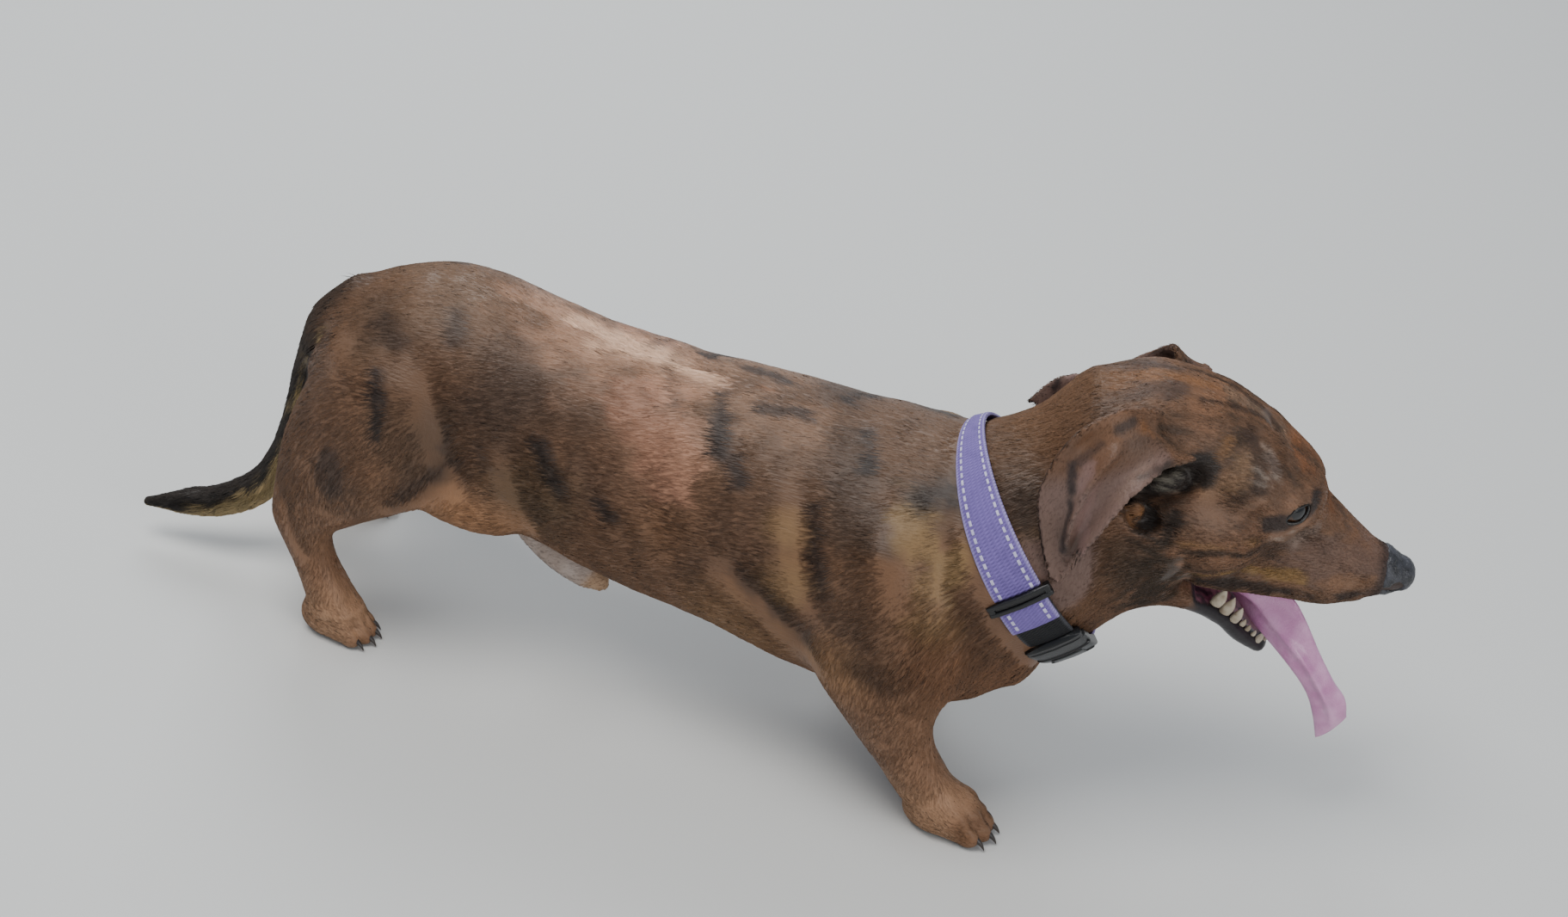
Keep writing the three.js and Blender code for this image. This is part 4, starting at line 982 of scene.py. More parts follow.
def head_markings_shade_and_sheen(colour, n, q, share):
    """Rust skull with its strokes and some painted shade, grey hairs on the brow, dark lids with painted
    shade at their inner corner, painted shade in the ear openings, ears brown outside and mauve inside with
    painted shade in their folds and painted highlight on their ridges.
    """
    on = share["head"]
    side = np.abs(q[:, 1])
    slow = noise(q, 17, 51)
    fine = noise(q, (7, 2.5, 2.5), 52)
    near = q * np.array([1, 0, 1]) - side[:, None] * np.array([0, 1, 0])
    ragged = 0.45 * fine + 0.35 * noise(q, 5, 53)
    base = np.tile(shade("45352c"), (len(q), 1))
    skull = mix(base, shade("785846"), np.clip(0.5 + 0.5 * slow + 0.4 * fine, 0, 1))
    skull = stroked(skull, near, HEAD_STROKES_AND_SHADE, ragged)
    grey = ease(13, 5, path_distance(q, [(36, -27, 38), (44, -31, 30)]))
    grey = grey + ease(10, 4, path_distance(q, [(78, -27, 2), (70, -31, 4)]))
    skull = mix(skull, GREY, 0.5 * np.clip(grey, 0, 1) * ease(0.0, 0.6, fine))
    # Dark lid edges, and painted shade under the brow at the eye's inner corner
    lids = path_distance(near, [(59, -34, 8), (67, -31, 12), (76, -23, 20), (78, -20, 27)])
    skull = mix(skull, shade("282021"), 0.9 * ease(6.4, 3.2, lids + fine))
    skull = mix(skull, shade("2c2325"), 0.9 * ease(133, 145, q[:, 0] + 0.39 * q[:, 2] + 2 * fine))
    colour = mix(colour, skull, on)
    # Painted shade, near black, in the ear's hollow and opening
    hollow = path_distance(q * np.array([1, 0, 1]), [(8, 0, 22), (-4, 0, 5), (-16, 0, -8), (-2, 0, -18)])
    deep = ease(12.5, 8, hollow + 2 * fine) * (side > 22) * (side < 43)
    colour = mix(colour, shade("241e1d"), 0.95 * deep * on)
    hairs = ease(8, 4, path_distance(q, [(6, -33, 10), (-6, -34, 2)])) * ease(-0.2, 0.6, fine)
    colour = mix(colour, shade("7d7872"), 0.7 * hairs * on)
    below = path_distance(q, [(-7, -41, -14), (-7, -42, -18)])
    colour = mix(colour, shade("8a6244"), 0.8 * ease(6, 3, below) * on)
    for key, sign in (("ear_right", -1), ("ear_left", 1)):
        outside = (n @ HEAD_AXES)[:, 1] * sign
        inner = ease(-0.1, 0.3, outside) if key == "ear_right" else ease(0.1, -0.3, outside)
        base = np.tile(shade("4c3a32"), (len(q), 1))
        flap = mix(base, shade("664a3c"), np.clip(0.5 + 0.6 * slow, 0, 1))
        reach = ease(20, 2, q[:, 2] - 0.9 * (q[:, 0] + 40)) if key == "ear_right" else 1.0
        flap = mix(flap, MAUVE, inner * np.clip(0.85 + 0.3 * slow, 0, 1) * reach)
        flap = mix(flap, stroked(flap, near, EAR_STROKES_SHADE_AND_SHEEN, 0.3 * fine + 0.2 * noise(q, 3, 54)), inner)
        colour = mix(colour, flap, share[key])
    return colour


# The skin: its normals outward, its relief and its paint
skin_faces = all_triangles(skin_quads, skin_tris)
skin_normals = point_normals(skin_points, skin_faces)
inward = (skin_normals * (skin_points - np.array([0, 0, 130]))).sum(-1).mean() < 0
if inward:
    skin_quads = skin_quads[:, ::-1]
    skin_tris = skin_tris[:, ::-1]
    skin_faces = all_triangles(skin_quads, skin_tris)
    skin_normals = -skin_normals

# Folds and hollows of both sides: path, half width and depth, which is negative for a ridge
RELIEF = [
    ([(-184, -52, 182), (-174, -58, 162), (-167, -58, 142), (-168, -58, 128)], 8, 2.6),
    ([(-167, -58, 136), (-176, -64, 124), (-194, -70, 106)], 6, 2.2),
    ([(-256, -26, 180), (-265, -23, 168), (-273, -16, 152)], 5, 4.5),
    ([(-246, -40, 178), (-256, -44, 150), (-256, -52, 120)], 9, -1.6),
    ([(28, -54, 186), (34, -66, 160), (46, -74, 136)], 9, 1.8),
    ([(2, -69, 134), (28, -72, 118), (50, -74, 100)], 9, 2.4),
    ([(74, -66, 178), (82, -74, 150), (86, -80, 120)], 12, -2.0),
    ([(118, -60, 150), (112, -72, 128), (108, -78, 108)], 8, 1.8),
    ([(80, -81, 100), (96, -82, 96), (112, -78, 98)], 7, 1.0),
    ([(74, -76, 88), (90, -80, 84), (108, -78, 86)], 6, 0.6),
    ([(104, -30, 204), (108, -52, 186), (112, -63, 160), (116, -64, 138)], 5, 1.0),
    ([(-262, -70, 92), (-257, -68, 74), (-250, -68, 58)], 4, 1.6),
    ([(-200, 0, 218), (-120, 0, 210), (60, 0, 207)], 9, 0.8),
    ([(-132, -56, 150), (-124, -58, 120), (-116, -54, 96)], 12, 1.4),
]
HEAD_RELIEF = [
    ([(28, -42, 10), (46, -38, 8)], 9, 2.2), ([(16, -43, -8), (42, -40, -1), (62, -34, 2)], 6, -1.8),
    ([(86, -2, 20), (70, -2, 34), (44, 0, 44)], 6, 1.8), ([(82, -26, 3), (98, -23, 0)], 6, 1.6),
    ([(-22, -35, 36), (2, -33, 43), (26, -25, 47), (46, -18, 44)], 4.5, 2.0),
    ([(-30, -24, 40), (0, -22, 50), (28, -14, 51)], 5, -1.2), ([(-22, -14, 42), (10, -12, 52)], 4, 1.0),
    ([(66, -32, -30), (98, -25, -20), (134, -18, -12)], 5, 1.0),
    ([(50, -31, -50), (42, -36, -34), (46, -38, -20)], 4.5, 2.0),
    ([(60, -35, 26), (48, -36, 24), (40, -36, 16)], 5, -1.2), ([(30, -43, -26), (36, -40, -42)], 6, 1.4),
    ([(120, 0, 10), (98, 0, 17)], 9, -0.8), ([(140, -12, 2), (124, -15, 2), (106, -19, 4)], 6, 0.9),
]


def relief(rows, points):
    """Sum of depth times a bell curve of the distance to the path, for each path on both sides."""
    total = np.zeros(len(points))
    for path, width, deep in rows:
        for side in (1, -1):
            line = on_side(path, side)
            if side > 0 or abs(line[:, 1]).max() >= 1:
                total += deep * np.exp(-((path_distance(points, line) / width) ** 2))
    return total


def ribs(points):
    """A faint wave along the chest: a sine of the place along the body, eased off towards its limits."""
    x, _, z = points.T
    wave = 0.12 * np.sin((x + 0.5 * z) / 5.2)
    return wave * ease(60, 20, np.abs(x + 50)) * ease(60, 90, z) * ease(200, 180, z)


reach_q, reach_s, reach_share, _ = regions(skin_points)
depth = relief(RELIEF, skin_points) * (reach_s < 4) + relief(HEAD_RELIEF, reach_q) * (reach_s > 4)
depth += 0.35 * noise(skin_points, 14, 81) + 0.2 * noise(skin_points, 7, 82)
depth -= ribs(skin_points)
off_ears = 1 - np.maximum(reach_share["ear_right"], reach_share["ear_left"]) * 0.6
depth *= ease(FLOOR_GAP, 6, skin_points[:, 2]) * off_ears
skin_points = skin_points - skin_normals * depth[:, None]
skin_normals = point_normals(skin_points, skin_faces)

FLESH = ["torso", "neck", "head", "lower_jaw", "ear_right", "ear_left", "tail"] + list(LEGS)
skin = make("skin", skin_points, [skin_quads, skin_tris], FLESH)


def mouth_shares(p, q):
    """Lining where the surface lies on the mouth's room, and the bare dark lip beside it."""
    room = mouth_room.read(p)
    front = ease(50, 62, q[:, 0]) * (np.abs(q[:, 1]) < 34)
    lining = ease(1.9, 0.9, room) * front
    height = q[:, 2] + 0.42 * (q[:, 0] - 70)
    jaw = ease(-54, -58, height) * ease(58, 70, q[:, 0]) * ease(-14, -9, height + 72)
    lip = np.clip(ease(5.0, 3.2, room) * front + jaw * front, 0, 1)
    return lining, lip


def paint(piece, colour, extra):
    """Stores the colour and any named shares on the points of a piece."""
    layer = piece.data.attributes.new("tone", "FLOAT_COLOR", "POINT")
    full = np.concatenate([np.clip(colour, 0, 1), np.ones((len(colour), 1))], 1)
    layer.data.foreach_set("color", full.astype(np.float32).ravel())
    for name, values in extra.items():
        store(piece, name, values)


skin_q, skin_s, skin_share, skin_place = regions(skin_points)
skin_colour = markings_shade_and_sheen(skin_points, skin_normals, skin_q, skin_share, skin_place)
lining, lip = mouth_shares(skin_points, skin_q)
gum_noise = noise(skin_q, 3.2, 61) + 0.5 * noise(skin_q, 1.6, 62)
gum = mix(np.tile(GUM, (len(gum_noise), 1)), shade("3a2a33"), ease(-0.1, 0.5, gum_noise))
skin_colour = mix(skin_colour, LIP, lip)
skin_colour = mix(skin_colour, gum, lining)
sole = ease(3.0, 1.0, skin_points[:, 2])
skin_colour = mix(skin_colour, shade("2a2425"), sole)
bare = np.clip(lip + lining + sole, 0, 1)
hanging = sum(skin_share[name] for name in LEGS) + skin_share["ear_right"] + skin_share["ear_left"]
upright = np.clip(hanging, 0, 1)
paint(skin, skin_colour, {"bare": bare, "upright": upright})


# Coat: most tufts in one piece, so that its triangles, four a tuft, stay under 200,000
LARGEST_PIECE = 49500
# Half width kept free under the collar, depth of the roots, and share and brightness of the light tufts
COLLAR_HALF = 9.5
ROOT_DEPTH = 0.35
LIGHT_SHARE = 0.012
LIGHT_FACTOR = 1.6
# A tuft's corners are left root, right root, ridge and tip. Its faces, its corners' tones and map places
TUFT_FACES = np.array([[0, 2, 3], [2, 1, 3], [0, 1, 2], [1, 0, 3]])
TUFT_TONES = [0.85, 0.85, 1.0, 1.08]
TUFT_MAP = np.array([[-0.0015, -0.0012], [0.0015, -0.0012], [0.0, 0.0003], [0.0, 0.0015]])


def scatter(points, faces, density):
    """Roots spread over triangles by area times density, each at a random place in its triangle."""
    a, b, c = (points[faces[:, i]] for i in range(3))
    area = np.linalg.norm(np.cross(b - a, c - a), axis=1) / 2
    wanted = area * density[faces].mean(1)
    total = int(wanted.sum())
    pick = np.searchsorted(np.cumsum(wanted), (np.arange(total) + rng.random(total)) * wanted.sum() / total)
    pick = np.minimum(pick, len(faces) - 1)
    u = rng.random(total)
    v = rng.random(total)
    over = u + v > 1
    u = np.where(over, 1 - u, u)
    v = np.where(over, 1 - v, v)
    weight = np.stack([1 - u - v, u, v], -1)[..., None]
    return pick, weight


def eye_distance(q, place, scale=(1, 1, 1)):
    """Distance in the head's frame to the nearer of two places, one a side, each axis times its scale."""
    return np.minimum(*[np.linalg.norm((q - on_side(place, side)) * scale, axis=1) for side in (1, -1)])


def coat_sizes(p, n, q, share):
    """Tufts to a square mm, and their length, width and lift in mm, at each point."""
    sizes = [np.full(len(p), value) for value in (0.56, 7.2, 0.52, 0.28)]

    def blend_in(part, values):
        """Mixes the four values into the four sizes by the part's share."""
        for row, value in zip(sizes, values):
            row[:] = row * (1 - part) + value * part

    blend_in(ease(0.3, 0.9, -n[:, 2]), (0.34, 6.5, 0.6, 0.5))
    blend_in(share["ahead"] * (1 - share["head"]), (0.55, 8.0, 0.55, 0.55))
    chest = ease(60, 110, p[:, 0]) * ease(175, 140, p[:, 2]) * ease(0, 0.5, n[:, 0] + 0.4)
    blend_in(chest, (0.5, 9.0, 0.6, 0.8))
    blend_in(ease(-240, -258, p[:, 0]) * (1 - share["tail"]), (0.5, 9.0, 0.55, 0.7))
    for name in LEGS:
        part = share[name] * ease(110, 70, p[:, 2])
        blend_in(part, (0.72, 5.2, 0.46, 0.3))
    sheath = ease(20, 12, path_distance(p, [(-150, 0, 70), (-120, 0, 54), (-97, 0, 44)]))
    blend_in(sheath * ease(82, 74, p[:, 2]), (0.45, 3.0, 0.35, 0.15))
    blend_in(share["paw"], (1.0, 3.4, 0.38, 0.22))
    blend_in(share["tail"], (1.0, 10.0, 0.5, 1.3))
    blend_in(share["tail"] * ease(-335, -362, p[:, 0]), (1.2, 3.5, 0.4, 0.2))
    blend_in(share["head"], (0.95, 4.6, 0.42, 0.28))
    blend_in(share["head"] * ease(84, 110, q[:, 0]), (1.35, 2.7, 0.34, 0.18))
    blend_in(share["head"] * ease(20, 12, eye_distance(q, (70, 29, 16))), (1.5, 2.2, 0.3, 0.12))
    ears = np.maximum(share["ear_right"], share["ear_left"])
    blend_in(ears, (0.9, 4.2, 0.4, 0.25))
    blend_in(ears * ease(-0.1, 0.3, -(n @ HEAD_AXES)[:, 1]), (0.35, 2.6, 0.3, 0.12))
    return sizes


def region_of(p, q, share):
    """Number of the coat piece that each root belongs to."""
    number = np.where(p[:, 1] < 0, 0, 1)
    number = np.where(share["ahead"] > 0.5, 2, number)
    number = np.where((share["head"] > 0.5) & (share["ahead"] > 0.5), 3, number)
    number = np.where((share["head"] > 0.5) & (q[:, 0] > 58), 4, number)
    number = np.where((share["ear_right"] > 0.5) | (share["ear_left"] > 0.5), 5, number)
    fore = np.maximum(share["foreleg_right"], share["foreleg_left"]) * (p[:, 2] < 110)
    hind = np.maximum(share["hindleg_right"], share["hindleg_left"]) * (p[:, 2] < 110)
    number = np.where(fore > 0.5, 6, number)
    number = np.where(hind > 0.5, 7, number)
    return np.where(share["tail"] > 0.5, 8, number)


# Coat pieces and their material slots, in the order of region_of's numbers
COAT_NAMES = [
    ("coat_trunk_right", "coat"), ("coat_trunk_left", "coat"), ("coat_neck", "coat"),
    ("coat_skull", "coat"), ("coat_face", "coat"), ("coat_ears", "coat_dark"),
    ("coat_forelegs", "coat_tan"), ("coat_hindlegs", "coat_tan"), ("coat_tail", "coat_dark"),
]


def unwrapped(number, p, n, q, place):
    """Each root's place on the piece's unwrap, from 0 to 1: how far along the body part and round it."""
    if number in (0, 1):
        angle = np.arctan2(p[:, 2] - 130, np.abs(p[:, 1]))
        return np.stack([(p[:, 0] + 285) / 470, angle / np.pi + 0.5], -1)
    if number == 2:
        angle = np.arctan2(q[:, 2] + 15, q[:, 1])
        return np.stack([(q[:, 0] + 110) / 150, angle / (2 * np.pi) + 0.5], -1)
    if number in (3, 4):
        angle = np.arctan2(q[:, 2] + 20, q[:, 1])
        first, reach = ((-60, 125), (56, 110))[number - 3]
        return np.stack([(q[:, 0] - first) / reach, angle / (2 * np.pi) + 0.5], -1)
    if number == 5:
        across = np.where(q[:, 1] > 0, 0.0, 0.5) + 0.5 * (q[:, 0] + 75) / 115
        up = np.where((n @ HEAD_AXES)[:, 1] > 0, 0, 0.5) + 0.5 * (q[:, 2] + 70) / 115
        return np.stack([across, up], -1)
    if number in (6, 7):
        out = np.zeros((len(p), 2))
        for cell, name in enumerate([m for m in LEGS if m.startswith("fore") == (number == 6)]):
            mine = p[:, 1] * LEGS[name][1] > 0
            _, angle = leg_place(p, name)
            both = np.stack([0.5 * cell + 0.5 * (angle / (2 * np.pi) + 0.5), p[:, 2] / 112], -1)
            out = np.where(mine[:, None], both, out)
        return out
    middle = TAIL_PATH[tail_step(place)]
    angle = np.arctan2(p[:, 0] - middle[:, 0], p[:, 1] - middle[:, 1])
    return np.stack([place, angle / (2 * np.pi) + 0.5], -1)


def field_at(p, s, sunk):
    """Distance to the skin, sunk by its relief, and its slope, from the head's field or the body's."""
    ahead = s > 2
    distance = np.where(ahead, head_field.read(p), body_field.read(p)) + sunk
    slope = np.where(ahead[:, None], head_field.slope(p), body_field.slope(p))
    return distance, slope


def grow_coat():
    """Tufts of four faces: two root corners, a raised ridge and a tip drawn back to just above the skin."""
    density, length, width, lift = coat_sizes(skin_points, skin_normals, skin_q, skin_share)
    density = density * (1 - ease(0.25, 0.5, bare)) * (np.abs(skin_s - 1) > COLLAR_HALF)
    leather = ease(143, 146, skin_q[:, 0] + 0.39 * skin_q[:, 2]) * ease(-22, -18, skin_q[:, 2])
    density = density * (1 - leather)
    density = density * (1 - ease(9.5, 8.0, eye_distance(skin_q, (72, 29, 16), (0.8, 1, 1.3))))
    pick, weight = scatter(skin_points, skin_faces, density)
    corner = skin_faces[pick]
    p = (skin_points[corner] * weight).sum(1)
    n = unit((skin_normals[corner] * weight).sum(1))
    long, wide, rise, sunk = ((row[corner] * weight[..., 0]).sum(1) for row in (length, width, lift, depth))
    q, s, share, place = regions(p)
    flow = coat_flow(p, n, q, s, share, place)
    count = len(p)
    flow = unit(flow + np.cross(n, flow) * rng.normal(0, 0.13, (count, 1)))
    colour = markings_shade_and_sheen(p, n, q, share, place)
    across = np.cross(n, flow)
    long = long * rng.uniform(0.7, 1.25, count)
    wide = wide * rng.uniform(0.75, 1.25, count)
    rise = rise * rng.uniform(0.5, 1.6, count)
    tip = p + flow * long[:, None]
    distance, slope = field_at(tip, s, sunk)
    near = np.abs(distance) < 4
    lowered = tip - slope * (distance - rise)[:, None]
    tip = np.where(near[:, None], lowered, tip + n * rise[:, None])
    ridge = p + flow * (0.4 * long)[:, None]
    distance, slope = field_at(ridge, s, sunk)
    near = np.abs(distance) < 3
    height = 0.25 * wide + 0.7 * rise
    ridge = np.where(near[:, None], ridge - slope * (distance - height)[:, None], ridge + n * height[:, None])
    root = p - n * ROOT_DEPTH
    left = root + across * (wide / 2)[:, None] + flow * (0.12 * long)[:, None]
    right = root - across * (wide / 2)[:, None] + flow * (0.12 * long)[:, None]
    corners = np.stack([left, right, ridge, tip], 1)
    tilt = unit(n + 0.16 * rng.normal(0, 1, (count, 3)) + 0.12 * flow)
    jitter = 1 + rng.normal(0, 0.09, count) + 0.08 * noise(p, 2.5, 71)
    jitter = np.where(rng.random(count) < LIGHT_SHARE, LIGHT_FACTOR, jitter)
    colour = colour * np.clip(jitter, 0.55, 1.7)[:, None]
    number = region_of(p, q, share)
    for i, (name, slot) in enumerate(COAT_NAMES):
        mine = np.where(number == i)[0][:LARGEST_PIECE]
        base = np.arange(len(mine))[:, None] * 4
        tris = (base[:, None] + TUFT_FACES[None]).reshape(-1, 3)
        piece = make(name, corners[mine].reshape(-1, 3), [tris])
        tones = np.repeat(colour[mine], 4, axis=0) * np.tile(TUFT_TONES, len(mine))[:, None]
        zero = np.zeros(len(tones))
        paint(piece, tones, {"bare": zero, "upright": zero})
        piece.data.normals_split_custom_set_from_vertices(np.repeat(tilt[mine], 4, axis=0))
        patch = np.clip(unwrapped(i, p[mine], n[mine], q[mine], place[mine]), 0.002, 0.998)
        uv = (patch[:, None] + TUFT_MAP[None]).reshape(-1, 2)
        layer = piece.data.uv_layers.new(name="OFBake")
        loops = np.empty(len(tris) * 3, np.int32)
        piece.data.loops.foreach_get("vertex_index", loops)
        layer.data.foreach_set("uv", uv[loops].astype(np.float32).ravel())
        piece.data.materials.append(coat_material)


# Materials
class Socket:
    """A shader value that can be used in Python sums, differences and products."""

    def __init__(self, tree, link):
        self.tree = tree
        self.link = link

    def node(self, operation, *values, clamp=False):
        """The result of a math node over values and sockets."""
        step = self.tree.nodes.new("ShaderNodeMath")
        step.operation = operation
        step.use_clamp = clamp
        for i, value in enumerate(values):
            if isinstance(value, Socket):
                self.tree.links.new(value.link, step.inputs[i])
            else:
                step.inputs[i].default_value = float(value)
        return Socket(self.tree, step.outputs[0])

    def __add__(self, other):
        return self.node("ADD", self, other)

    def __radd__(self, other):
        return self.node("ADD", other, self)

    def __sub__(self, other):
        return self.node("SUBTRACT", self, other)

    def __rsub__(self, other):
        return self.node("SUBTRACT", other, self)

    def __mul__(self, other):
        return self.node("MULTIPLY", self, other)

    def __rmul__(self, other):
        return self.node("MULTIPLY", other, self)

    def ease(self, low, high):
        """0 at low, 1 at high, straight between and level past them."""
        return self.node("DIVIDE", self - low, high - low, clamp=True)


class Look:
    """One material: its shader, and the nodes that feed it."""

    def __init__(self, name, **settings):
        self.material = bpy.data.materials.new(name)
        self.material.use_nodes = True
        self.tree = self.material.node_tree
        self.shader = self.tree.nodes["Principled BSDF"]
        for key, value in settings.items():
            self.set(self.shader, key.replace("_", " "), value)

    def set(self, node, name, value):
        """Links a socket to a node's input, or sets that input to a value."""
        socket = node.inputs[name]
        if isinstance(value, Socket):
            self.tree.links.new(value.link, socket)
        elif isinstance(value, (tuple, list, np.ndarray)) and socket.type == "RGBA":
            socket.default_value = (*[float(v) for v in value][:3], 1.0)
        else:
            socket.default_value = value

    def add(self, kind, out, settings=None, **inputs):
        """A new node's output of the given name, after its settings and inputs."""
        node = self.tree.nodes.new(kind)
        for key, value in (settings or {}).items():
            setattr(node, key, value)
        for key, value in inputs.items():
            self.set(node, key, value)
        return Socket(self.tree, node.outputs[out])

    def place(self):
        """Place on the object, in metres."""
        return self.add("ShaderNodeTexCoord", "Object")

    def value(self, name):
        """A number stored on the mesh."""
        return self.add("ShaderNodeAttribute", "Fac", {"attribute_name": name})

    def colour(self, name):
        """A colour stored on the mesh."""
        return self.add("ShaderNodeAttribute", "Color", {"attribute_name": name})

    def noise(self, where, scale, detail=2.0, stretch=(1, 1, 1)):
        """Noise from 0 to 1 with the given cells to a metre."""
        vector = self.add("ShaderNodeMapping", "Vector", Vector=where, Scale=stretch)
        return self.add("ShaderNodeTexNoise", "Fac", Vector=vector, Scale=scale, Detail=detail)

    def pebbles(self, where, scale):
        """Distance to the nearest of scattered points, with the given cells to a metre."""
        return self.add("ShaderNodeTexVoronoi", "Distance", {"feature": "F1"}, Vector=where, Scale=scale)

    def mix(self, share, a, b, blend="MIX"):
        """The two colours mixed, or blended another way, by share."""
        node = self.tree.nodes.new("ShaderNodeMix")
        node.data_type = "RGBA"
        node.blend_type = blend
        node.clamp_factor = True
        for place, value in ((0, share), (6, a), (7, b)):
            self.set(node, place, value)
        return Socket(self.tree, node.outputs[2])

    def bump(self, height, distance, strength):
        """A normal tilted by the slope of a height."""
        return self.add("ShaderNodeBump", "Normal", Height=height, Distance=distance, Strength=strength)

    def feed(self, name, value):
        """Links or sets an input of the material's shader."""
        self.set(self.shader, name, value)


def coat_look():
    """Painted tone times fine streaks along the hair, smoother where bare, with hair as bump."""
    sheen = {"Sheen_Weight": 0.03, "Sheen_Roughness": 0.5, "Sheen_Tint": (1.0, 0.86, 0.8)}
    look = Look("short_coat", Specular_IOR_Level=0.32, **sheen)
    where = look.place()
    level = look.noise(where, 900, 3, (0.16, 1, 1))
    upright = look.noise(where, 900, 3, (1, 1, 0.16))
    share = look.value("upright")
    hair = level * (1 - share) + upright * share
    grain = look.noise(where, 260, 2)
    bright = 0.72 + 0.5 * hair + 0.14 * grain
    tone = look.colour("tone")
    scaled = look.mix(1.0, tone, look.mix(bright, (0, 0, 0), (1.0, 1.0, 1.0)), "MULTIPLY")
    bare_share = look.value("bare")
    look.feed("Base Color", look.mix(bare_share, scaled, tone))
    look.feed("Roughness", 0.47 - 0.15 * bare_share + 0.1 * grain - 0.05)
    look.feed("Normal", look.bump(hair * (1 - bare_share) + 0.6 * grain * bare_share, 0.0006, 0.7))
    return look.material


coat_material = coat_look()
skin.data.materials.append(coat_material)
grow_coat()

# Eyes
def ball_grid(radius, rows=28, sides=40):
    """A sphere about y: height the cosine of one angle, rings of its sine round the other."""
    a = np.linspace(0, np.pi, rows + 2)[1:-1]
    b = np.linspace(0, 2 * np.pi, sides, endpoint=False)
    ring = np.stack([
        np.sin(a)[:, None] * np.cos(b), np.cos(a)[:, None] + 0 * b, np.sin(a)[:, None] * np.sin(b),
    ], -1) * radius
    return closed(ring, np.array([0, radius, 0]), np.array([0, -radius, 0]))


def eye_look():
    """Pupil, dark amber iris with rays, brown rim and pinkish white by the angle from the gaze."""
    look = Look("eyeball", Roughness=0.12, Coat_Weight=0.35, Coat_Roughness=0.02)
    angle = look.value("gaze")
    rays = look.noise(look.place(), 700, 3)
    iris = look.mix(rays, (0.03, 0.013, 0.007), (0.07, 0.03, 0.013))
    iris = look.mix(angle.ease(44, 50), iris, (0.012, 0.008, 0.007))
    white = look.mix(angle.ease(58, 68), iris, (0.30, 0.24, 0.22))
    look.feed("Base Color", look.mix(angle.ease(23, 26), (0.004, 0.004, 0.005), white))
    return look.material


eye_material = eye_look()
# Way each eye looks: towards its inner corner, outwards, and across the slit
GAZE = unit(np.array([0.05, 1.0, 0.12]))
for side, name in ((-1, "eye_right"), (1, "eye_left")):
    axes = eye_axes(side)
    points, quads, tris = ball_grid(EYE_RADIUS - 0.2)
    angle = np.degrees(np.arccos(np.clip(unit(points) @ GAZE, -1, 1)))
    swell = 0.5 * ease(40, 20, angle)[:, None] * unit(points)
    if np.linalg.det(axes) < 0:
        quads, tris = quads[:, ::-1], tris[:, ::-1]
    shape = (points + swell) @ axes.T + eye_centre(side)
    ball_piece = make(name + "_ball", shape, [quads, tris], [name])
    store(ball_piece, "gaze", angle)
    ball_piece.data.materials.append(eye_material)


def tube(path, radius, sides=12, loop=False):
    """Rings of the given radii round a path of points, their side axis carried along it."""
    path = np.asarray(path, float)
    count = len(path)
    radius = np.broadcast_to(radius, count)
    ahead = unit(np.roll(path, -1, 0) - np.roll(path, 1, 0)) if loop else unit(np.gradient(path, axis=0))
    side = np.zeros((count, 3))
    start = np.array([0.3, 0.2, 1.0])
    for i in range(count):
        start = unit(start - ahead[i] * (start @ ahead[i]))
        side[i] = start
    up = np.cross(ahead, side)
    a = np.linspace(0, 2 * np.pi, sides, endpoint=False)
    ring = side[:, None] * np.cos(a)[None, :, None] + up[:, None] * np.sin(a)[None, :, None]
    rows = path[:, None] + ring * radius[:, None, None]
    if not loop:
        return closed(rows, path[0], path[-1])
    r, k = np.meshgrid(np.arange(count), np.arange(sides), indexing="ij")
    here, there = r * sides, (r + 1) % count * sides
    turn = (k + 1) % sides
    quads = np.stack([here + k, here + turn, there + turn, there + k], -1).reshape(-1, 4)
    return rows.reshape(-1, 3), quads, NO_TRIS


def outward(surface):
    """The same surface with its faces turned to give a positive volume."""
    points, quads, tris = surface
    faces = all_triangles(quads, tris)
    a, b, c = (points[faces[:, i]] for i in range(3))
    if (a * np.cross(b, c)).sum() < 0:
        return points, quads[:, ::-1], tris[:, ::-1]
    return surface


def joined(surfaces):
    """Several surfaces as one set of points, quads and triangles."""
    points, quads, tris = [], [], []
    start = 0
    for surface in surfaces:
        p, q, t = outward(surface)
        points.append(p)
        quads.append(q + start)
        tris.append(t + start)
        start += len(p)
    return np.concatenate(points), np.concatenate(quads), np.concatenate(tris)


def plain_look(name, colour, roughness, spots=None):
    """One colour broken up by a slow noise, with a fine grain as bump."""
    look = Look(name)
    where = look.place()
    mottle = look.noise(where, 160, 3)
    second = colour * 0.7 if spots is None else spots
    look.feed("Base Color", look.mix(mottle.ease(0.35, 0.7), colour, second))
    look.feed("Roughness", roughness + 0.12 * mottle - 0.06)
    look.feed("Normal", look.bump(look.noise(where, 1500, 2), 0.0002, 0.6))
    return look.material


lid_rims = []
for side in (-1, 1):
    axes = eye_axes(side)
    a = np.linspace(0, 2 * np.pi, 72, endpoint=False)
    along = 7.6 * np.cos(a)
    tall = 4.6 * np.sin(a) * (1 - 0.25 * np.abs(np.cos(a)))
    out = np.sqrt((EYE_RADIUS + 0.7) ** 2 - along**2 - tall**2)
    path = np.stack([along, out, tall], -1) @ axes.T + eye_centre(side)
    lid_rims.append(tube(path, 0.95 + 0.25 * np.abs(np.cos(a)) ** 6, 10, True))
rims = joined(lid_rims)
rim_piece = make("lid_rims", rims[0], rims[1:])
rim_piece.data.materials.append(plain_look("lid", shade("17130f"), 0.3))

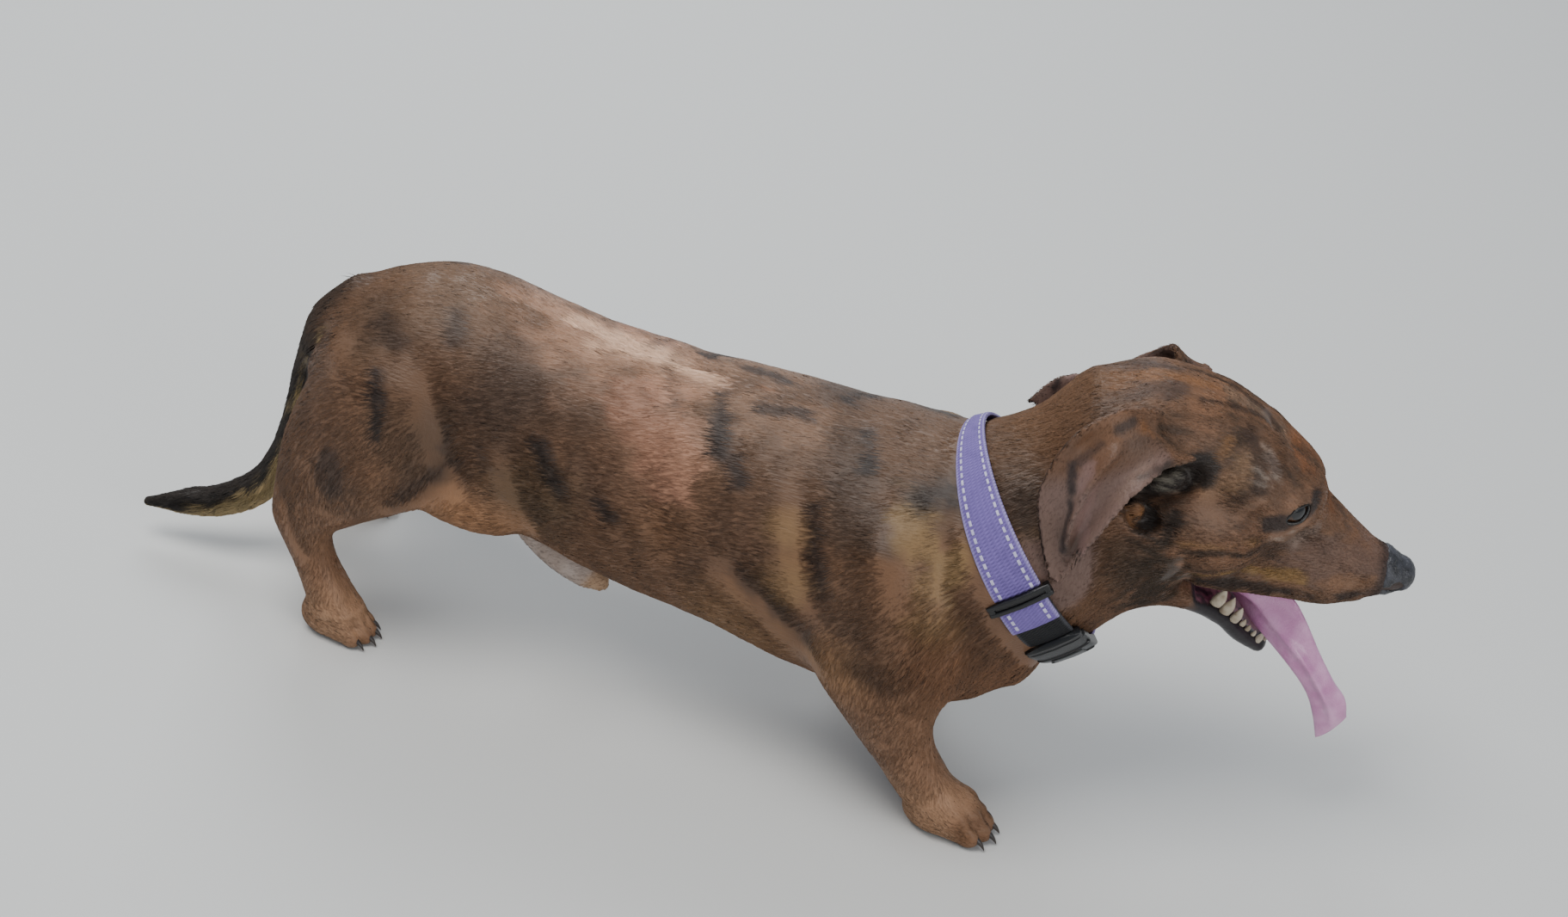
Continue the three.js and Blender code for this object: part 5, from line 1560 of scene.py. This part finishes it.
# Teeth and claws: factors of the crowns' lengths on each side, and the claws' lowest height over the floor
CROWN_LENGTHS = {-1: 1.08, 1: 0.6}
CLAW_GAP = 0.6


def tooth(x, y, z, radius, height):
    """A pointed crown leaning out a little, its radius falling by the height to the power 1.6."""
    h = np.linspace(-0.4, 1, 14)
    shrink = radius * np.maximum(0.04, (1 - np.maximum(h, 0) ** 1.6)) * (1 + 0.12 * np.minimum(h, 0))
    a = np.linspace(0, 2 * np.pi, 16, endpoint=False)
    rows = np.stack([
        x + shrink[:, None] * 1.15 * np.cos(a) - 0.12 * height * np.maximum(h, 0)[:, None] ** 2,
        y + np.sign(y) * 0.06 * abs(height) * h[:, None] + shrink[:, None] * 0.8 * np.sin(a),
        z + height * h[:, None] + 0 * a,
    ], -1)
    return closed(rows, rows[0].mean(0), rows[-1].mean(0))


crowns = [
    moved(tooth(x, side * y, z, r, h * CROWN_LENGTHS[side]), from_head)
    for x, y, z, r, h in LOWER_TEETH + UPPER_TEETH for side in (-1, 1)
]
crown = joined(crowns)
teeth_piece = make("teeth_crowns", crown[0], crown[1:])
teeth_piece.data.materials.append(plain_look("enamel", shade("c4b8a2"), 0.28, shade("8f7d66")))


def claw(paw, size, turn, toe):
    """A curved claw from the toe's end: centre line bent down by an arc, radius falling to its point."""
    out, ahead, toe_turn, share = toe
    t = np.linspace(0, 1, 16)
    bend = np.radians(18 + 46 * t)
    step = np.stack([np.cos(bend), 0 * t, -np.sin(bend)], -1) * (9.5 / 15)
    line = np.cumsum(step, 0) - step[0]
    line = line @ turned(0, 0, toe_turn).T + np.array([ahead + 11.6, out * 1.09, 7.6])
    place = np.array(paw, float) + (line * size) @ turned(0, 0, turn).T
    return tube(place, size * 2.0 * (1 - t**1.5 * 0.86) * share, 12)


nails = joined([claw(paw, size, turn, toe) for *_, paw, size, turn in LEGS.values() for toe in TOES])
nails[0][:, 2] = np.maximum(nails[0][:, 2], CLAW_GAP)
nail_piece = make("claw_tips", nails[0], nails[1:])
nail_piece.data.materials.append(plain_look("horn", shade("2a2422"), 0.32, shade("3d342f")))


# Nose: middles of the nostrils in the head's frame
NOSTRILS = [(156.5, -10, -10.5), (156.5, 10, -10.5)]


def nose_surface():
    """The muzzle's end ahead of a slanted plane, less nostrils, side slits and the groove between them."""
    low = from_head((150, 0, -8)) - 30
    field = Field(low, low + 60, NOSE_CELL)
    pad = field.of(moved(loft(head_stations(), 120, 72, (16, 8.6), 0.15), from_head))
    q = to_head(field.places())
    grain = 0.22 * noise(q, 1.3, 91) + 0.12 * noise(q, 0.8, 92)
    edge = (131.5 - (0.93 * q[:, 0] + 0.364 * q[:, 2])).reshape(field.shape)
    base = (-20.5 - q[:, 2] - 0.25 * np.abs(q[:, 1])).reshape(field.shape)
    pad = melt_cut(melt_cut(pad, edge, 7.0), base, 4.0)
    pad = pad + grain.reshape(field.shape)
    for nostril in NOSTRILS:
        pad = carve(pad, field.ball(from_head(nostril), (4.4, 3.6, 3.4), HEAD_AXES), 1.2)
    for side in (-1, 1):
        slit = HEAD_AXES @ turned(0, 0, side * 25)
        pad = carve(pad, field.ball(from_head((152, side * 11.5, -13)), (5, 1.5, 1.2), slit), 1.2)
    pad = carve(pad, field.ball(from_head((165, 0, -15)), (4, 0.8, 9), HEAD_AXES), 1.2)
    field.values = pad.astype(np.float32)
    return field.surface()


def nose_look():
    """Dark grey leather, lighter in patches, with painted shade near black in the nostrils, and a pebbled
    grain.
    """
    look = Look("nose", Specular_IOR_Level=0.5)
    where = look.place()
    cells = look.pebbles(where, 900.0)
    mottle = look.noise(where, 220, 3)
    leather = look.mix(mottle.ease(0.35, 0.75), shade("222225"), shade("45464d"))
    look.feed("Base Color", look.mix(look.value("hole"), leather, (0.006, 0.005, 0.005)))
    look.feed("Roughness", 0.36 + 0.15 * mottle)
    look.feed("Normal", look.bump(cells, 0.0005, 0.8))
    return look.material


pad = outward((*nose_surface(), NO_TRIS))
nose_piece = make("nose_pad", pad[0], pad[1:], ["nose"])
# Painted shade, near black, inside the nostrils
inside = [np.linalg.norm(to_head(pad[0]) - (a - 1, b, c), axis=1) for a, b, c in NOSTRILS]
store(nose_piece, "hole", ease(5.0, 2.8, np.min(inside, axis=0)))
nose_piece.data.materials.append(nose_look())


# Tongue
def tongue_dent(k, t):
    """A groove down the middle, shaped as a bell curve, and soft ripples, a sine along the tongue."""
    groove = -2.6 * np.exp(-(((t - 0.5) / 0.13) ** 2)) * ease(0.05, 0.2, k) * ease(1.0, 0.8, k)
    return groove + 0.35 * np.sin(30 * k + 3 * t) * ease(0.2, 0.5, k)


def tongue_look():
    """Mauve pink, paler in patches, with fine papillae and a wet coat."""
    look = Look("tongue_flesh", Coat_Weight=0.5, Coat_Roughness=0.12, Subsurface_Weight=0.0)
    where = look.place()
    mottle = look.noise(where, 90, 3)
    dots = look.pebbles(where, 1100.0)
    look.feed("Base Color", look.mix(mottle.ease(0.3, 0.7), shade("bd78a8"), shade("d8a0c6")))
    look.feed("Roughness", 0.36 + 0.1 * mottle)
    look.feed("Normal", look.bump(dots, 0.0004, 0.5))
    return look.material


tongue = sheet(TONGUE_LOW, TONGUE_HIGH, -2, 5.0, 130, 60, 0.85, tongue_dent)
tongue = outward(moved(tongue, from_head))
tongue_piece = make("tongue_blade", tongue[0], tongue[1:], ["tongue"])
tongue_piece.data.materials.append(tongue_look())

# Collar: its middle is this station of the neck's path, and stations lie about this far apart
COLLAR_STATION = 2
STATION_SPAN = 31
RIM_STEPS = 48
RIM_POWER = 2 / 7


def collar_points(across, angle, lift):
    """Points on the neck's section at a distance ahead of the collar's middle, lifted off its centre."""
    across, angle, lift = np.broadcast_arrays(across, np.radians(angle), lift)
    shape = across.shape
    across, angle, lift = across.ravel(), angle.ravel(), lift.ravel()
    centre, _, side, up, sizes = ring_frame(NECK, COLLAR_STATION + across / STATION_SPAN)
    w, u, d = sizes[:, 0], sizes[:, 1], sizes[:, 2]
    local = side * (np.cos(angle) * w)[:, None]
    local = local + up * (np.sin(angle) * np.where(np.sin(angle) > 0, u, d))[:, None]
    return (centre + local + unit(local) * lift[:, None]).reshape(*shape, 3)


def sway(angle):
    """The band's slight waves round the neck: half a millimetre times one plus a sine of five turns."""
    return 0.5 * np.sin(np.radians(angle) * 5 + 1) + 0.5


def strap(first, last, low, high, width, steps, middle=0.0, wavy=False):
    """A band round the neck, its section a superellipse to the seventh power, with an end cap each way."""
    a = np.linspace(0, 2 * np.pi, RIM_STEPS, endpoint=False)
    x = middle + width / 2 * np.sign(np.cos(a)) * np.abs(np.cos(a)) ** RIM_POWER
    z = (low + high) / 2 + (high - low) / 2 * np.sign(np.sin(a)) * np.abs(np.sin(a)) ** RIM_POWER
    angle = np.linspace(first, last, steps)
    lift = z[None] + (sway(angle)[:, None] if wavy else 0)
    rows = collar_points(x[None] + 0 * angle[:, None], angle[:, None] + 0 * x[None], lift)
    surface = closed(rows, rows[0].mean(0), rows[-1].mean(0))
    along = np.concatenate([np.repeat(angle, len(a)), [first, last]])
    over = np.concatenate([np.tile(x - middle, steps), [0, 0]])
    return surface, along, over


def worn(name, replaces, rows, look_material):
    """One collar piece from a row of numbers for each strap, with its places along and across stored."""
    surfaces, along, across = zip(*[strap(*row) for row in rows])
    shape = joined(surfaces)
    piece = make(name, shape[0], shape[1:], replaces)
    store(piece, "along", np.concatenate(along))
    store(piece, "across", np.concatenate(across))
    piece.data.materials.append(look_material)


# Radians of the weave's wave to each degree round the neck, and to each millimetre across the band
WEAVE_ALONG = 2 * math.pi / 1.6
WEAVE_ACROSS = 3.0


def webbing_look(name, colour, edge):
    """Woven webbing: waves along and aslant, lighter edges (on the black strap a painted highlight) and slow
    patches of dirt.
    """
    look = Look(name, Specular_IOR_Level=0.3)
    along = look.value("along") * WEAVE_ALONG
    across = look.value("across")
    rib = along.node("SINE", along)
    twill = along.node("SINE", along + across * WEAVE_ACROSS)
    side = across.node("ABSOLUTE", across)
    dirt = look.noise(look.place(), 120, 3)
    tone = look.mix(side.ease(6.6, 7.6), colour, edge)
    tone = look.mix((0.5 * twill + 0.5) * 0.35, tone, colour * 0.45)
    tone = look.mix(dirt.ease(0.45, 0.8) * 0.45, tone, colour * 0.45)
    look.feed("Base Color", tone)
    look.feed("Roughness", 0.62 + 0.15 * dirt)
    look.feed("Normal", look.bump(0.5 * rib + 0.5 * twill, 0.0003, 0.8))
    return look.material


violet = webbing_look("violet_webbing", shade("7b69ae"), shade("a094c9"))
# The black strap's lighter edges are a painted highlight along them
black = webbing_look("black_webbing", shade("19191c"), shade("46464b"))
plastic = plain_look("plastic", shade("141416"), 0.3)

# Each strap's first and last angle in degrees, low and high lift, width, steps, middle, and waves or none
worn("band_webbing", ["collar_band"], [(246.4, 543.6, 0.7, 2.9, 16, 260, 0, True)], violet)
worn("loop_webbing", ["collar_loop"], [(189.4, 202, 3.3, 5.4, 16, 20)], violet)
worn("black_strap", ["collar_webbing"], [(189.4, 218.6, 0.7, 2.9, 16, 36)], black)
worn("slide_bar", ["collar_slider"], [
    (183.9, 185.5, 2.7, 6.0, 22, 8), (187.6, 189.2, 2.7, 6.0, 22, 8), (184, 189, 0.7, 5.6, 2.4, 10, 9.6),
    (184, 189, 0.7, 5.6, 2.4, 10, -9.6), (185.6, 187.4, 3.4, 4.6, 20, 8),
], plastic)
worn("buckle_body", ["collar_buckle"], [
    (219.2, 222.4, 1.0, 6.4, 20, 10), (222.0, 231.5, 0.8, 6.8, 18.6, 24), (231.9, 246, 0.8, 7.4, 20, 34),
    (223.2, 231.8, 1.8, 5.6, 2.6, 16, 9.2), (223.2, 231.8, 1.8, 5.6, 2.6, 16, -9.2),
    (234, 243.5, 6.8, 8.0, 11, 24), (243.2, 244.4, 6.8, 8.1, 17, 6),
], plastic)

# Stitches in two lines: their step and length in degrees round the neck, and the lines' places across
DASH_STEP = 3.4 * 1.16
DASH_LENGTH = 3.4 * 0.74
LINES = (-5.2, 5.2)
starts = np.arange(248.5, 541, DASH_STEP)
dashes = [(a, a + DASH_LENGTH, 2.75, 3.15, 1.0, 5, line, True) for line in LINES for a in starts]
dashes += [(a, a + 2.3, 5.3, 5.65, 1.0, 5, line) for line in LINES for a in (190.4, 194, 197.6)]
thread = plain_look("thread", shade("cfcbe2"), 0.4, shade("b3aed0"))
worn("stitching", [], dashes, thread)

# Floor, light and camera
bpy.ops.mesh.primitive_plane_add(size=30, location=(0, 0, 0))
floor = bpy.context.object
floor.name = "floor"
floor.data.materials.append(Look("floor", Base_Color=(0.62, 0.62, 0.60), Roughness=0.8).material)

world = bpy.data.worlds.new("studio")
bpy.context.scene.world = world
world.use_nodes = True
sky = world.node_tree.nodes["Background"]
sky.inputs["Color"].default_value = (0.80, 0.88, 1.0, 1)
sky.inputs["Strength"].default_value = 0.46


def lamp(name, place, target, size, power, colour):
    """A square area lamp at place, facing target."""
    data = bpy.data.lights.new(name, "AREA")
    data.size = size
    data.energy = power
    data.color = colour
    piece = bpy.data.objects.new(name, data)
    piece.location = place
    piece.rotation_euler = (Vector(target) - Vector(place)).to_track_quat("-Z", "Y").to_euler()
    bpy.context.scene.collection.objects.link(piece)


MIDDLE = (0, 0, 0.12)
lamp("key", (-0.5, -0.5, 2.3), MIDDLE, 1.3, 45, (1.0, 0.99, 0.97))
lamp("rim", (-0.8, 1.6, 1.6), MIDDLE, 1.2, 28, (0.92, 0.96, 1.0))
lamp("front", (1.8, -1.2, 0.9), (0.1, 0, 0.12), 1.2, 17, (1.0, 0.98, 0.95))

# The photo's camera: degrees round from the right side, up and rolled, metres, and picture sizes in pixels
AZIMUTH, ELEVATION, ROLL = np.radians([15, 35, 8])
SEEN_FROM = 1.5
LOOKED_AT = np.array([0.020, 0, 0.1646])
SENSOR_MM = 36
FOCAL_PIXELS = 3243
PHOTO_WIDTH = 1823
backward = np.array([
    math.sin(AZIMUTH) * math.cos(ELEVATION), -math.cos(AZIMUTH) * math.cos(ELEVATION), math.sin(ELEVATION),
])
rightward = unit(np.cross(-backward, (0, 0, 1)))
upward = np.cross(rightward, -backward)
columns = (
    rightward * math.cos(ROLL) + upward * math.sin(ROLL),
    upward * math.cos(ROLL) - rightward * math.sin(ROLL),
    backward,
    LOOKED_AT + backward * SEEN_FROM,
)
camera_data = bpy.data.cameras.new("camera")
camera_data.lens = SENSOR_MM * FOCAL_PIXELS / PHOTO_WIDTH
camera = bpy.data.objects.new("camera", camera_data)
bpy.context.scene.collection.objects.link(camera)
camera.matrix_world = Matrix([*np.stack(columns, -1).tolist(), (0, 0, 0, 1)])
bpy.context.scene.camera = camera
